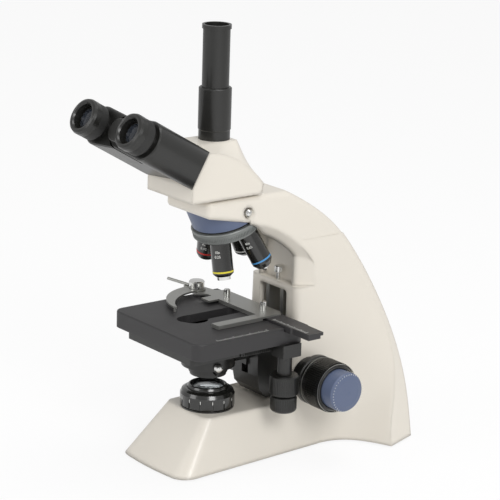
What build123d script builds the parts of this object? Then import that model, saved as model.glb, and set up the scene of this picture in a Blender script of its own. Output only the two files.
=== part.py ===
from build123d import *
import os
from math import cos, degrees, pi, radians, sin, sqrt

# Trinocular biological microscope, standing on its feet, in millimetres.
# X points to the user's right, +Y away from the user and +Z up.
# The optical axis is X = 0, Y = 0, and the table is Z = 0.

os.makedirs("parts", exist_ok=True)

# General fits
snug = 0.02             # between two fixed pieces pushed into each other
running = 0.05          # radial gap round a turning or sliding shaft
clear = 0.4             # between faces that pass each other

# Base
foot_height = 2.0
platform_height = 52.0
platform_half_width = 34.0
platform_front = -27.0
platform_corner = 9.0
base_half_width = 53.0
base_waist_half_width = 42.0
base_front = -71.0
base_front_bow = 4.5
base_corner = 17.0
cover_thickness = 2.0
pad_width = 50.0            # pressed pad in the middle of the cover
pad_depth = 0.6
foot_radius = 8.0
screw_head_radius = 3.0

cover_screw_places = ((-33, -35), (33, -35), (-33, 70), (33, 70), (-48, 175), (48, 175))
front_feet = (30.0, -50.0)
rear_feet = (68.0, 184.0)
inlet_height = 24.0
inlet_width = 27.5
inlet_depth = 20.0
switch_x = 34.0
switch_width = 19.0
switch_pivot_y = 199.5
dimmer_y = 30.0
dimmer_height = 22.0

# Column and its flared back
column_front = 79.0
column_half_width = 38.0
column_corner = 7.0
shoulder_height = 168.0
flare_start = 112.0
slot_half_width = 21.0
slot_top = 162.0
slot_bottom = 53.0
slot_corner = 3.5
slot_depth = 21.0

# Arm and its throat
arm_half_width = 35.0
arm_top = 268.0
arm_edge_radius = 5.0
nose_front = -30.0
nose_bottom = 252.0
throat_radius = 121.5
throat_centre_height = 122.0
throat_bevel = 10.0
throat_start = 20.0
throat_start_height = 241.8
web_front = 80.0
web_middle = 89.5
web_front_half_width = 25.0
web_back = 102.5

# Nosepiece: the objectives point away from an apex on the optical axis
apex_height = 289.0
turret_tilt = 16.75
turret_turn = 31.5          # the turret stands between two click stops
objective_seat = 68.0       # from the apex
objective_radius = 10.25
cap_bottom = 51.0           # distances along the turret axis from the apex
cap_bottom_radius = 31.5
cap_flare = 0.15
ring_top = 53.3
ring_bottom = 63.8
ring_top_radius = 33.5
ring_bottom_radius = 31.0
ring_wall = 1.5
axle_radius = 5.0

# Head
head_bottom = 270.0
head_half_width = 36.0
head_front = -51.0
head_front_height = 15.0
head_back = 33.0
head_top = 321.0
head_top_half_width = 16.0
head_top_back = 15.0
eyepiece_tilt = 30.0
dovetail_radius = 19.5
dovetail_depth = 6.0
light_path_radius = 7.0

# Photo tube
tube_foot_radius = 15.2
tube_foot_top = 330.0
tube_lower_radius = 15.8
tube_lower_top = 371.0
tube_upper_radius = 13.0
tube_rim_radius = 14.0
tube_rim_height = 4.0
tube_top = 431.0
port_radius = 11.6
port_depth = 30.0

# Binocular wings, measured along the eyepiece direction from the head's sloping face
wing_length = 75.0
wing_radius = 19.5
wing_hub_radius = 16.0
eye_offset = 36.9
eye_bore_radius = 11.6
neck_radius = 13.5
neck_end = 79.0
diopter_end = 89.0
diopter_radius = 16.8
eyecup_radius = 17.8
eyecup_end = 98.4

# Stage
stage_half_width = 70.0
stage_front = -66.0
stage_back = 64.0
stage_top_height = 143.3
stage_thickness = 16.5
stage_corner = 10.5
stage_pocket_depth = 8.0
rebate_front = 37.5
rebate_depth = 4.0
lower_plate_half_width = 53.0
lower_plate_front = -60.0
lower_plate_back = 74.5
lower_plate_thickness = 9.0

# Stage drive: two knobs on one axis
drive_x = 64.0
drive_y = 44.5
y_pinion_teeth = 20
y_module = 0.8
x_pinion_teeth = 16
x_module = 0.5
y_knob_radius = 14.0
y_knob_bottom = 74.0
y_knob_top = 94.0
x_knob_radius = 12.75
x_knob_bottom = 57.0
x_knob_top = 72.5
x_travel = 34.0
y_travel_front = 43.0
y_travel_back = 7.0

# Slide rail and holder
rail_height = 6.0
rail_left = -65.0
rail_right = 105.0
rail_back = 59.0
holder_thickness = 1.8

# Focus drive
focus_axis_y = 92.0
focus_axis_height = 77.0
focus_travel_up = 30.0
focus_travel_down = 1.0
focus_teeth = 12
focus_module = 0.8
coarse_shaft_radius = 3.2
fine_shaft_radius = 1.8
bush_radius = 7.0
coarse_knob_radius = 25.0
coarse_knob_start = 52.0
coarse_knob_end = 88.0
fine_knob_radius = 19.7
fine_knob_end = 105.0

# Bracket that carries the stage
bracket_half_width = 20.4
bracket_front = 46.0
bracket_bottom = 54.5
slider_half_width = 8.3
guide_bar_width = 5.0

# Condenser
carrier_radius = 26.5
carrier_bottom = 95.0
carrier_top = 106.0
barrel_radius = 18.5
barrel_top = 122.0
iris_bottom = 88.6
tray_bottom = 85.6
condenser_knob_height = 97.0
condenser_knob_y = 54.0

# Illuminator on the base
collar_radius = 20.0
collar_top = 75.0
field_ring_radius = 27.0
field_ring_top = 71.0
lamp_bore_radius = 16.5


def half_section(plane, *corners):
    """Closed half section from (radius, height) corners, on a plane that holds the axis."""
    with BuildSketch(plane) as section:
        with BuildLine():
            Polyline(*corners, close=True)
        make_face()
    return section.sketch


def axis_plane(point, along, across):
    """Sketch plane whose Y runs along an axis and whose X is the radius from it."""
    return Plane(origin=point, x_dir=across, z_dir=Vector(*across).cross(Vector(*along)))


def teeth(count, module, base_radius):
    """Outline of a small pinion: a disc with straight-flanked teeth."""
    pitch_radius = count * module / 2
    tip_radius = pitch_radius + 0.9 * module
    root_half = 0.72 * module
    tip_half = 0.30 * module
    with BuildSketch() as outline:
        Circle(base_radius)
        with PolarLocations(0, count):
            with BuildLine():
                Polyline(
                    (base_radius - 0.1, -root_half),
                    (tip_radius, -tip_half),
                    (tip_radius, tip_half),
                    (base_radius - 0.1, root_half),
                    close=True,
                )
            make_face()
    return outline.sketch


def rack_outline(length, module, body_depth, phase):
    """Toothed strip along X with its pitch line on Y = 0 and its teeth towards +Y."""
    pitch = pi * module
    count = int(length / pitch / 2)
    with BuildSketch() as outline:
        with BuildLine():
            Polyline(
                (-length / 2, -module - body_depth),
                (length / 2, -module - body_depth),
                (length / 2, -module),
                (-length / 2, -module),
                close=True,
            )
        make_face()
        for step in range(-count, count + 1):
            centre = step * pitch + phase
            if abs(centre) > length / 2 - pitch / 2:
                continue
            with BuildLine():
                Polyline(
                    (centre - 0.98 * module, -module - 0.05),
                    (centre + 0.98 * module, -module - 0.05),
                    (centre + 0.36 * module, 0.8 * module),
                    (centre - 0.36 * module, 0.8 * module),
                    close=True,
                )
            make_face()
    return outline.sketch


def cover_outline(spare):
    """Outline of the sheet that closes the base, grown by a spare width."""
    with BuildSketch(Plane.XY.offset(foot_height)) as outline:
        with BuildLine():
            Polyline(
                (-40, -60), (40, -60), (38, 118), (62, 190), (-62, 190), (-38, 118), close=True
            )
        make_face()
        fillet(outline.vertices().group_by(Axis.Y)[0], 10)
        offset(amount=spare, kind=Kind.INTERSECTION)
    return outline.sketch


# Directions used by more than one piece
tilt = radians(turret_tilt)
apex = (0, 0, apex_height)
turret_along = (0, sin(tilt), -cos(tilt))
turret_plane = axis_plane(apex, turret_along, (1, 0, 0))
turret_axis = Axis(apex, turret_along)


def objective_direction(place):
    """Pointing direction of an objective, turned by an angle from the working place."""
    turn = radians(place)
    return (
        sin(tilt) * sin(turn),
        sin(tilt) * cos(tilt) * (1 - cos(turn)),
        -(cos(tilt) ** 2 + sin(tilt) ** 2 * cos(turn)),
    )


slope = radians(eyepiece_tilt)
eye_along = (0, -cos(slope), sin(slope))
eye_up = (0, sin(slope), cos(slope))
face_height = 2 * 18.65
face_bottom_point = Vector(0, head_front, head_bottom + head_front_height)
face_centre = face_bottom_point + Vector(*eye_up) * (face_height / 2)
face_plane = Plane(origin=face_centre, x_dir=(1, 0, 0), z_dir=eye_along)

# Stand casting: base, column and arm in one piece
flare_sections = (
    # height, waist, crease half width, crease Y, rear half width, rear Y
    (foot_height, 42.0, 90.0, 166.0, 77.0, 204.0),
    (52.0, 40.2, 77.0, 178.0, 67.0, 203.0),
    (107.0, 38.8, 58.0, 184.0, 53.0, 194.0),
    (150.0, 37.6, 45.0, 170.0, 42.0, 179.0),
    (190.0, 36.4, 38.2, 148.0, 36.0, 157.0),
    (216.0, 35.4, 35.8, 129.0, 34.0, 138.0),
)

with BuildPart() as base_block:
    with BuildSketch(Plane.XY.offset(foot_height)) as base_outline:
        with BuildLine():
            ThreePointArc(
                (-base_half_width, base_front + base_front_bow),
                (0, base_front),
                (base_half_width, base_front + base_front_bow),
            )
            Polyline(
                (base_half_width, base_front + base_front_bow),
                (base_waist_half_width, 115),
                (-base_waist_half_width, 115),
                (-base_half_width, base_front + base_front_bow),
            )
        make_face()
        fillet(base_outline.vertices().group_by(Axis.Y)[0], base_corner)
    with BuildSketch(Plane.XY.offset(platform_height)) as platform_outline:
        with BuildLine():
            ThreePointArc(
                (-platform_half_width, platform_front + 1),
                (0, platform_front),
                (platform_half_width, platform_front + 1),
            )
            Polyline(
                (platform_half_width, platform_front + 1),
                (column_half_width, 115),
                (-column_half_width, 115),
                (-platform_half_width, platform_front + 1),
            )
        make_face()
        fillet(platform_outline.vertices().group_by(Axis.Y)[0], platform_corner)
    loft(ruled=True)

with BuildPart() as column_block:
    for height, waist, crease_half, crease_y, rear_half, rear_y in flare_sections:
        with BuildSketch(Plane.XY.offset(height)) as section:
            with BuildLine():
                Line((-waist, column_front), (waist, column_front))
                Line((waist, column_front), (waist, flare_start))
                Spline(
                    (waist, flare_start),
                    (crease_half, crease_y),
                    tangents=[(0, 1), (crease_half - waist, 0.4 * (crease_y - flare_start))],
                )
                Line((crease_half, crease_y), (rear_half, rear_y))
                ThreePointArc((rear_half, rear_y), (0, rear_y + 3), (-rear_half, rear_y))
                Line((-rear_half, rear_y), (-crease_half, crease_y))
                Spline(
                    (-crease_half, crease_y),
                    (-waist, flare_start),
                    tangents=[(crease_half - waist, -0.4 * (crease_y - flare_start)), (0, -1)],
                )
                Line((-waist, flare_start), (-waist, column_front))
            make_face()
            fillet(section.vertices().group_by(Axis.Y)[0], column_corner)
    loft()

with BuildPart() as arm_block:
    with BuildSketch(Plane.YZ.offset(-arm_half_width)):
        with BuildLine():
            Polyline(
                (nose_front, nose_bottom),
                (nose_front, arm_top),
                (65, arm_top),
            )
            Spline((65, arm_top), (113, 239), (139, 215.5), (157, 190.5), (168, 170))
            Polyline(
                (168, 170),
                (throat_start, 170),
                (throat_start, throat_start_height),
                (nose_front, nose_bottom),
            )
        make_face()
    extrude(amount=2 * arm_half_width)
    nose_corners = arm_block.edges().filter_by(Axis.Z).group_by(Axis.Y)[0]
    fillet(nose_corners, arm_edge_radius)
    arm_sides = arm_block.faces().filter_by(Axis.X).edges()
    top_edges = arm_sides.filter_by(lambda e: e.center().Z > 200 and e.center().Y > -20)
    top_edges = top_edges.filter_by(lambda e: e.center().Z > 225 + 0.2 * (100 - e.center().Y))
    fillet(top_edges, arm_edge_radius)

# Recess in each side of the arm: a bevelled arch that runs out on the shoulder
with BuildPart() as throat_side:
    arch_plane = Plane(
        origin=(0, 0, throat_centre_height), x_dir=(0, 0, 1), z_dir=(0, 1, 0)
    )
    revolve(
        half_section(
            arch_plane,
            (0, web_front_half_width),
            (throat_radius - throat_bevel, web_front_half_width),
            (throat_radius, web_front_half_width + throat_bevel),
            (throat_radius, 60),
            (0, 60),
        ),
        axis=Axis((0, 0, throat_centre_height), (1, 0, 0)),
    )
    with BuildSketch(Plane.XY.offset(shoulder_height)):
        with BuildLine():
            Polyline(
                (web_front_half_width, web_front),
                (column_half_width - 0.6, web_back),
                (60, web_back),
                (60, -60),
                (web_front_half_width, -60),
                close=True,
            )
        make_face()
    extrude(amount=110, mode=Mode.INTERSECT)

with BuildPart() as throat_middle:
    with BuildSketch(Plane.YZ.offset(-web_front_half_width - 0.5)):
        with BuildLine():
            Polyline((20, 160), (20, 241), (30, 250), (50, 250))
            ThreePointArc((50, 250), (75, 240), (web_middle, 220))
            Polyline(
                (web_middle, 220), (web_middle, shoulder_height), (20, shoulder_height), (20, 160)
            )
        make_face()
    extrude(amount=2 * web_front_half_width + 1)

with BuildPart() as turret_room:
    revolve(
        half_section(
            turret_plane,
            (0, cap_bottom - 0.5),
            (ring_top_radius + 0.7, cap_bottom - 0.5),
            (ring_top_radius + 0.7, 90),
            (0, 90),
        ),
        axis=turret_axis,
    )

screw_point = Vector(33, 17, 253)
screw_along = Vector(0.8, 0.4, -0.45).normalized()

with BuildPart() as stand_casting:
    add(base_block.part)
    add(column_block.part)
    add(arm_block.part)
    add(throat_side.part, mode=Mode.SUBTRACT)
    add(mirror(throat_side.part, about=Plane.YZ, mode=Mode.PRIVATE), mode=Mode.SUBTRACT)
    add(throat_middle.part, mode=Mode.SUBTRACT)
    add(turret_room.part, mode=Mode.SUBTRACT)
    # slot for the focus carriage
    with BuildSketch(Plane.XZ.offset(-column_front + 1)):
        with BuildLine():
            Polyline(
                (-slot_half_width, slot_bottom),
                (-slot_half_width, slot_top),
                (slot_half_width, slot_top),
                (slot_half_width, slot_bottom),
                close=True,
            )
        slot_face = make_face()
        fillet(slot_face.vertices().group_by(Axis.Y)[-1], slot_corner)
    extrude(amount=-slot_depth - 1, mode=Mode.SUBTRACT)
    # well for the lower end of the rack
    with BuildSketch(Plane.XY.offset(slot_bottom)):
        with Locations((0, column_front + 11)):
            Rectangle(2 * slider_half_width + 2, 14)
    extrude(amount=-11, mode=Mode.SUBTRACT)
    # seats of the focus shaft bushes
    with BuildSketch(Plane.YZ.offset(-60)):
        with Locations((focus_axis_y, focus_axis_height)):
            Circle(bush_radius + snug)
    extrude(amount=120, mode=Mode.SUBTRACT)
    # dovetail seat and light path of the head
    with BuildSketch(Plane.XY.offset(arm_top)):
        Circle(dovetail_radius + 1)
    extrude(amount=-dovetail_depth, mode=Mode.SUBTRACT)
    with BuildSketch(Plane.XY.offset(arm_top)):
        Circle(light_path_radius)
    extrude(amount=-40, mode=Mode.SUBTRACT)
    # bore for the turret axle
    revolve(
        half_section(
            turret_plane, (0, 34), (axle_radius + snug, 34), (axle_radius + snug, 52), (0, 52)
        ),
        axis=turret_axis,
        mode=Mode.SUBTRACT,
    )
    # head clamp: bore and the hollow that its head lies in
    revolve(
        half_section(
            axis_plane(screw_point, screw_along, Vector(0, 0.747, 0.664)),
            (0, -16), (2.6, -16), (2.6, -4), (5.4, -4), (6.2, 8), (0, 8),
        ),
        axis=Axis(screw_point, screw_along),
        mode=Mode.SUBTRACT,
    )
    # stop screw hole in the shoulder
    with Locations((0, column_front + 5.5, shoulder_height)):
        Hole(2.1, 14)
    # lamp room, open to the platform
    with BuildSketch(Plane.XY.offset(platform_height)):
        Circle(lamp_bore_radius)
    extrude(amount=-30, mode=Mode.SUBTRACT)
    # hollow of the base behind the cover
    with BuildSketch(Plane.XY.offset(foot_height)):
        with Locations((0, 17)):
            RectangleRounded(52, 84, 5)
    extrude(amount=34, mode=Mode.SUBTRACT)
    with BuildSketch(Plane.XY.offset(foot_height)):
        with Locations((0, 140)):
            RectangleRounded(70, 96, 5)
    extrude(amount=34, mode=Mode.SUBTRACT)
    with BuildSketch(Plane.XY.offset(foot_height)):
        with Locations((0, 75)):
            Rectangle(40, 60)
    extrude(amount=20, mode=Mode.SUBTRACT)
    # recess of the cover and its screw holes
    extrude(cover_outline(snug), amount=cover_thickness, mode=Mode.SUBTRACT)
    with BuildSketch(Plane.XY.offset(foot_height + cover_thickness)):
        with Locations(*cover_screw_places):
            Circle(1.5 + snug)
    extrude(amount=7, mode=Mode.SUBTRACT)
    # openings of the inlet and the switch in the back, and of the dimmer on the left
    with BuildSketch(Plane.XZ.offset(-215)):
        with Locations((0, inlet_height)):
            Rectangle(inlet_width + 2 * snug, inlet_depth + 2 * snug)
        with Locations((switch_x, inlet_height)):
            Rectangle(switch_width + 2 * clear, 13.8)
    extrude(amount=45, mode=Mode.SUBTRACT)
    with BuildSketch(Plane.YZ.offset(switch_x - switch_width / 2 - 2)):
        with Locations((switch_pivot_y, inlet_height)):
            Circle(1.2 + running)
    extrude(amount=switch_width + 4, mode=Mode.SUBTRACT)
    with BuildSketch(Plane.YZ.offset(-60)):
        with Locations((dimmer_y, dimmer_height)):
            Circle(3.0 + running)
    extrude(amount=36, mode=Mode.SUBTRACT)
stand_casting.part.label = "stand_casting"
export_step(stand_casting.part, "parts/stand_casting.step")

# Base fittings
with BuildPart() as base_cover:
    extrude(cover_outline(-snug), amount=cover_thickness)
    with BuildSketch(Plane.XY.offset(foot_height)):
        with Locations(*cover_screw_places):
            Circle(1.6)
    extrude(amount=cover_thickness, mode=Mode.SUBTRACT)
    with BuildSketch(Plane.XY.offset(foot_height)):
        RectangleRounded(pad_width, pad_width, 6)
    extrude(amount=-pad_depth)
base_cover.part.label = "base_cover"
export_step(base_cover.part, "parts/base_cover.step")

with BuildPart() as rubber_feet:
    with BuildSketch():
        for side in (-1, 1):
            with Locations((side * front_feet[0], front_feet[1]), (side * rear_feet[0], rear_feet[1])):
                Circle(foot_radius)
    extrude(amount=foot_height)
    chamfer(rubber_feet.edges().group_by(Axis.Z)[0], 0.6)
rubber_feet.part.label = "rubber_feet"
export_step(rubber_feet.part, "parts/rubber_feet.step")

with BuildPart() as cover_screws:
    with BuildSketch(Plane.XY.offset(foot_height - 1)):
        with Locations(*cover_screw_places):
            Circle(screw_head_radius)
    extrude(amount=1)
    with BuildSketch(Plane.XY.offset(foot_height)):
        with Locations(*cover_screw_places):
            Circle(1.5)
    extrude(amount=8)
cover_screws.part.label = "cover_screws"
export_step(cover_screws.part, "parts/cover_screws.step")

with BuildPart() as lamp_collar:
    revolve(
        half_section(
            Plane.XZ,
            (lamp_bore_radius, platform_height),
            (field_ring_radius - 0.6, platform_height),
            (field_ring_radius - 0.6, platform_height + 1.4),
            (collar_radius, platform_height + 1.4),
            (collar_radius, collar_top - 2.5),
            (collar_radius - 1, collar_top - 0.7),
            (collar_radius - 2.4, collar_top),
            (lamp_bore_radius + snug, collar_top - 0.8),
            (lamp_bore_radius + snug, collar_top - 6.5),
            (lamp_bore_radius - 1.4, collar_top - 6.5),
            (lamp_bore_radius - 1.4, collar_top - 8),
            (lamp_bore_radius, collar_top - 8),
        ),
        axis=Axis.Z,
    )
lamp_collar.part.label = "lamp_collar"
export_step(lamp_collar.part, "parts/lamp_collar.step")

with BuildPart() as field_lens:
    with BuildSketch(Plane.XZ):
        with BuildLine():
            Line((0, collar_top - 6.5), (lamp_bore_radius, collar_top - 6.5))
            Line((lamp_bore_radius, collar_top - 6.5), (lamp_bore_radius, collar_top - 4))
            ThreePointArc(
                (lamp_bore_radius, collar_top - 4), (8.6, collar_top - 1.73), (0.5, collar_top - 1)
            )
            Line((0.5, collar_top - 1), (0, collar_top - 1))
            Line((0, collar_top - 1), (0, collar_top - 6.5))
        make_face()
    revolve(axis=Axis.Z)
field_lens.part.label = "field_lens"
export_step(field_lens.part, "parts/field_lens.step")

with BuildPart() as field_ring:
    revolve(
        half_section(
            Plane.XZ,
            (collar_radius + clear, platform_height + 1.8),
            (field_ring_radius - 1, platform_height + 1.8),
            (field_ring_radius, platform_height + 3),
            (field_ring_radius, field_ring_top - 5),
            (field_ring_radius - 1.6, field_ring_top - 1.6),
            (field_ring_radius - 4.5, field_ring_top),
            (collar_radius + clear, field_ring_top + 0.3),
        ),
        axis=Axis.Z,
    )
    with BuildSketch(Plane.XY.offset(platform_height + 1.8)):
        with PolarLocations(field_ring_radius, 14):
            Rectangle(1.8, 2.2)
    extrude(amount=7, mode=Mode.SUBTRACT)
field_ring.part.label = "field_ring"
export_step(field_ring.part, "parts/field_ring.step")

# Lamp: heat sink standing on the cover, board and emitter
with BuildPart() as led_module:
    revolve(
        half_section(
            Plane.XZ,
            (0, foot_height + cover_thickness),
            (8, foot_height + cover_thickness),
            (8, 14),
            (15, 14),
            (15, 34),
            (4, 34),
            (4, 36.5),
            (2.5, 38),
            (0, 38.5),
        ),
        axis=Axis.Z,
    )
    with BuildSketch(Plane.XY.offset(14)):
        with GridLocations(5, 0, 5, 1):
            Rectangle(2.2, 32)
    extrude(amount=15, mode=Mode.SUBTRACT)
led_module.part.label = "led_module"
export_step(led_module.part, "parts/led_module.step")

with BuildPart() as control_board:
    with BuildSketch(Plane.XY.offset(foot_height + cover_thickness)):
        with Locations((0, 130)):
            with GridLocations(44, 50, 2, 2):
                Circle(2.5)
    extrude(amount=6)
    with BuildSketch(Plane.XY.offset(foot_height + cover_thickness + 6)):
        with Locations((0, 130)):
            Rectangle(52, 58)
    extrude(amount=1.6)
    with BuildSketch(Plane.XY.offset(foot_height + cover_thickness + 7.6)):
        with Locations((-10, 135)):
            Rectangle(20, 24)
        with Locations((14, 118), (14, 140)):
            Circle(5)
    extrude(amount=13)
control_board.part.label = "control_board"
export_step(control_board.part, "parts/control_board.step")

inlet_back = 208.5
with BuildPart() as power_inlet:
    with BuildSketch(Plane.XZ.offset(-inlet_back)):
        with Locations((0, inlet_height)):
            Rectangle(inlet_width, inlet_depth)
    extrude(amount=28)
    with BuildSketch(Plane.XZ.offset(-inlet_back)):
        with Locations((0, inlet_height)):
            RectangleRounded(23.5, 15.5, 2.5)
    extrude(amount=16, mode=Mode.SUBTRACT)
    with BuildSketch(Plane.XZ.offset(-inlet_back + 16)):
        with Locations((-7, inlet_height - 2), (0, inlet_height + 2), (7, inlet_height - 2)):
            Rectangle(2, 4)
    extrude(amount=-12)
power_inlet.part.label = "power_inlet"
export_step(power_inlet.part, "parts/power_inlet.step")

with BuildPart() as power_switch:
    with BuildSketch(Plane.YZ.offset(switch_x - switch_width / 2)):
        with BuildLine():
            Polyline(
                (switch_pivot_y - 2.5, inlet_height - 5.2),
                (switch_pivot_y, inlet_height - 5.6),
                (switch_pivot_y + 8, inlet_height - 4.6),
                (switch_pivot_y + 5.8, inlet_height),
                (switch_pivot_y + 5, inlet_height + 5),
                (switch_pivot_y, inlet_height + 5.6),
                (switch_pivot_y - 2.5, inlet_height + 5.2),
                close=True,
            )
        make_face()
    extrude(amount=switch_width)
    with BuildSketch(Plane.YZ.offset(switch_x - switch_width / 2 - 1.6)):
        with Locations((switch_pivot_y, inlet_height)):
            Circle(1.2)
    extrude(amount=switch_width + 3.2)
power_switch.part.label = "power_switch"
export_step(power_switch.part, "parts/power_switch.step")

dimmer_start = 46.0
with BuildPart() as brightness_knob:
    with BuildSketch(Plane.YZ.offset(-dimmer_start)):
        with Locations((dimmer_y, dimmer_height)):
            Circle(10.5)
    extrude(amount=-11)
    fillet(brightness_knob.edges().group_by(Axis.X)[0], 1.5)
    with BuildSketch(Plane.YZ.offset(-dimmer_start)):
        with Locations((dimmer_y, dimmer_height)):
            Circle(3.0)
    extrude(amount=dimmer_start - 24)
brightness_knob.part.label = "brightness_knob"
export_step(brightness_knob.part, "parts/brightness_knob.step")

# Focus drive: rack on the carriage, pinion on a hollow shaft, fine shaft inside it
focus_line = Axis((0, focus_axis_y, focus_axis_height), (1, 0, 0))
focus_plane = axis_plane((0, focus_axis_y, focus_axis_height), (1, 0, 0), (0, 0, 1))
pinion_plane = Plane.YZ
focus_pinion_radius = focus_teeth * focus_module / 2
rack_line_y = focus_axis_y - focus_pinion_radius
rack_body = 1.2
slider_back = rack_line_y - focus_module - rack_body
slot_back = column_front + slot_depth

with BuildPart() as guide_bars:
    with BuildSketch(Plane.XY.offset(slot_bottom)):
        for side in (-1, 1):
            with Locations((side * (slider_half_width + 0.2 + guide_bar_width / 2), slot_back)):
                Rectangle(guide_bar_width, slot_depth - 2, align=(Align.CENTER, Align.MAX))
    extrude(amount=slot_top - slot_bottom - 1)
    with BuildSketch(Plane.YZ.offset(-20)):
        with Locations((focus_axis_y, focus_axis_height)):
            Circle(coarse_shaft_radius + 0.8)
    extrude(amount=40, mode=Mode.SUBTRACT)
guide_bars.part.label = "guide_bars"
export_step(guide_bars.part, "parts/guide_bars.step")

bush_start = slot_half_width + 0.3
with BuildPart() as shaft_bushes:
    for side in (-1, 1):
        with BuildSketch(Plane.YZ.offset(side * bush_start)):
            with Locations((focus_axis_y, focus_axis_height)):
                Circle(bush_radius)
                Circle(coarse_shaft_radius + running, mode=Mode.SUBTRACT)
        extrude(amount=side * (column_half_width + 0.8 - bush_start))
shaft_bushes.part.label = "shaft_bushes"
export_step(shaft_bushes.part, "parts/shaft_bushes.step")

with BuildPart() as tension_ring:
    revolve(
        half_section(
            focus_plane,
            (coarse_shaft_radius + running, 41.2),
            (19, 41.2),
            (20, 42.2),
            (20, 50.2),
            (19, 51.2),
            (coarse_shaft_radius + running, 51.2),
        ),
        axis=focus_line,
    )
    with BuildSketch(Plane.YZ.offset(41.2)):
        with Locations((focus_axis_y, focus_axis_height)):
            with PolarLocations(20.4, 18):
                Rectangle(2, 1.6)
    extrude(amount=10, mode=Mode.SUBTRACT)
tension_ring.part.label = "tension_ring"
export_step(tension_ring.part, "parts/tension_ring.step")

with BuildPart() as coarse_shaft:
    with BuildSketch(Plane.YZ.offset(-70)):
        with Locations((focus_axis_y, focus_axis_height)):
            Circle(coarse_shaft_radius)
    extrude(amount=140)
    with BuildSketch(Plane.YZ.offset(-4)):
        with Locations((focus_axis_y, focus_axis_height)):
            add(teeth(focus_teeth, focus_module, focus_pinion_radius - 1))
    extrude(amount=8)
    with BuildSketch(Plane.YZ.offset(-70)):
        with Locations((focus_axis_y, focus_axis_height)):
            Circle(fine_shaft_radius + running)
    extrude(amount=140, mode=Mode.SUBTRACT)
coarse_shaft.part.label = "coarse_shaft"
export_step(coarse_shaft.part, "parts/coarse_shaft.step")

with BuildPart() as right_coarse_knob:
    revolve(
        half_section(
            focus_plane,
            (coarse_shaft_radius + snug, coarse_knob_start),
            (coarse_knob_radius - 1, coarse_knob_start),
            (coarse_knob_radius, coarse_knob_start + 1),
            (coarse_knob_radius, coarse_knob_start + 6),
            (coarse_knob_radius - 0.9, coarse_knob_start + 7),
            (coarse_knob_radius - 0.9, coarse_knob_start + 9),
            (coarse_knob_radius - 0.4, coarse_knob_start + 10),
            (coarse_knob_radius - 1.6, coarse_knob_end - 2),
            (coarse_knob_radius - 3.2, coarse_knob_end),
            (fine_knob_radius + 0.9, coarse_knob_end),
            (fine_knob_radius + 0.9, coarse_knob_end - 8),
            (coarse_shaft_radius + snug, coarse_knob_end - 8),
        ),
        axis=focus_line,
    )

with BuildPart() as coarse_knobs:
    add(right_coarse_knob.part)
    add(mirror(right_coarse_knob.part, about=Plane.YZ, mode=Mode.PRIVATE))
coarse_knobs.part.label = "coarse_knobs"
export_step(coarse_knobs.part, "parts/coarse_knobs.step")

fine_shaft_end = coarse_knob_end - 4
with BuildPart() as fine_shaft:
    with BuildSketch(Plane.YZ.offset(-fine_shaft_end)):
        with Locations((focus_axis_y, focus_axis_height)):
            Circle(fine_shaft_radius)
    extrude(amount=2 * fine_shaft_end)
fine_shaft.part.label = "fine_shaft"
export_step(fine_shaft.part, "parts/fine_shaft.step")

with BuildPart() as right_fine_knob:
    revolve(
        half_section(
            focus_plane,
            (fine_shaft_radius + snug, coarse_knob_end - 7.4),
            (fine_knob_radius, coarse_knob_end - 7.4),
            (fine_knob_radius, fine_knob_end - 3.5),
            (fine_knob_radius - 1.2, fine_knob_end - 1.8),
            (fine_knob_radius - 6, fine_knob_end - 0.5),
            (0, fine_knob_end),
            (0, fine_shaft_end + snug),
            (fine_shaft_radius + snug, fine_shaft_end + snug),
        ),
        axis=focus_line,
    )

with BuildPart() as fine_knobs:
    add(right_fine_knob.part)
    add(mirror(right_fine_knob.part, about=Plane.YZ, mode=Mode.PRIVATE))
fine_knobs.part.label = "fine_knobs"
export_step(fine_knobs.part, "parts/fine_knobs.step")

rack_low = focus_axis_height - focus_travel_up - 3
rack_high = focus_axis_height + focus_travel_down + 4
rack_centre = (rack_low + rack_high) / 2
focus_pitch = pi * focus_module
rack_phase = (focus_axis_height - rack_centre) % focus_pitch - focus_pitch / 2
with BuildPart() as focus_rack:
    with BuildSketch(
        Plane(origin=(-3, rack_line_y, rack_centre), x_dir=(0, 0, 1), z_dir=(-1, 0, 0))
    ):
        add(rack_outline(rack_high - rack_low, focus_module, rack_body, rack_phase))
    extrude(amount=-6)
focus_rack.part.label = "focus_rack"
export_step(focus_rack.part, "parts/focus_rack.step")

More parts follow.
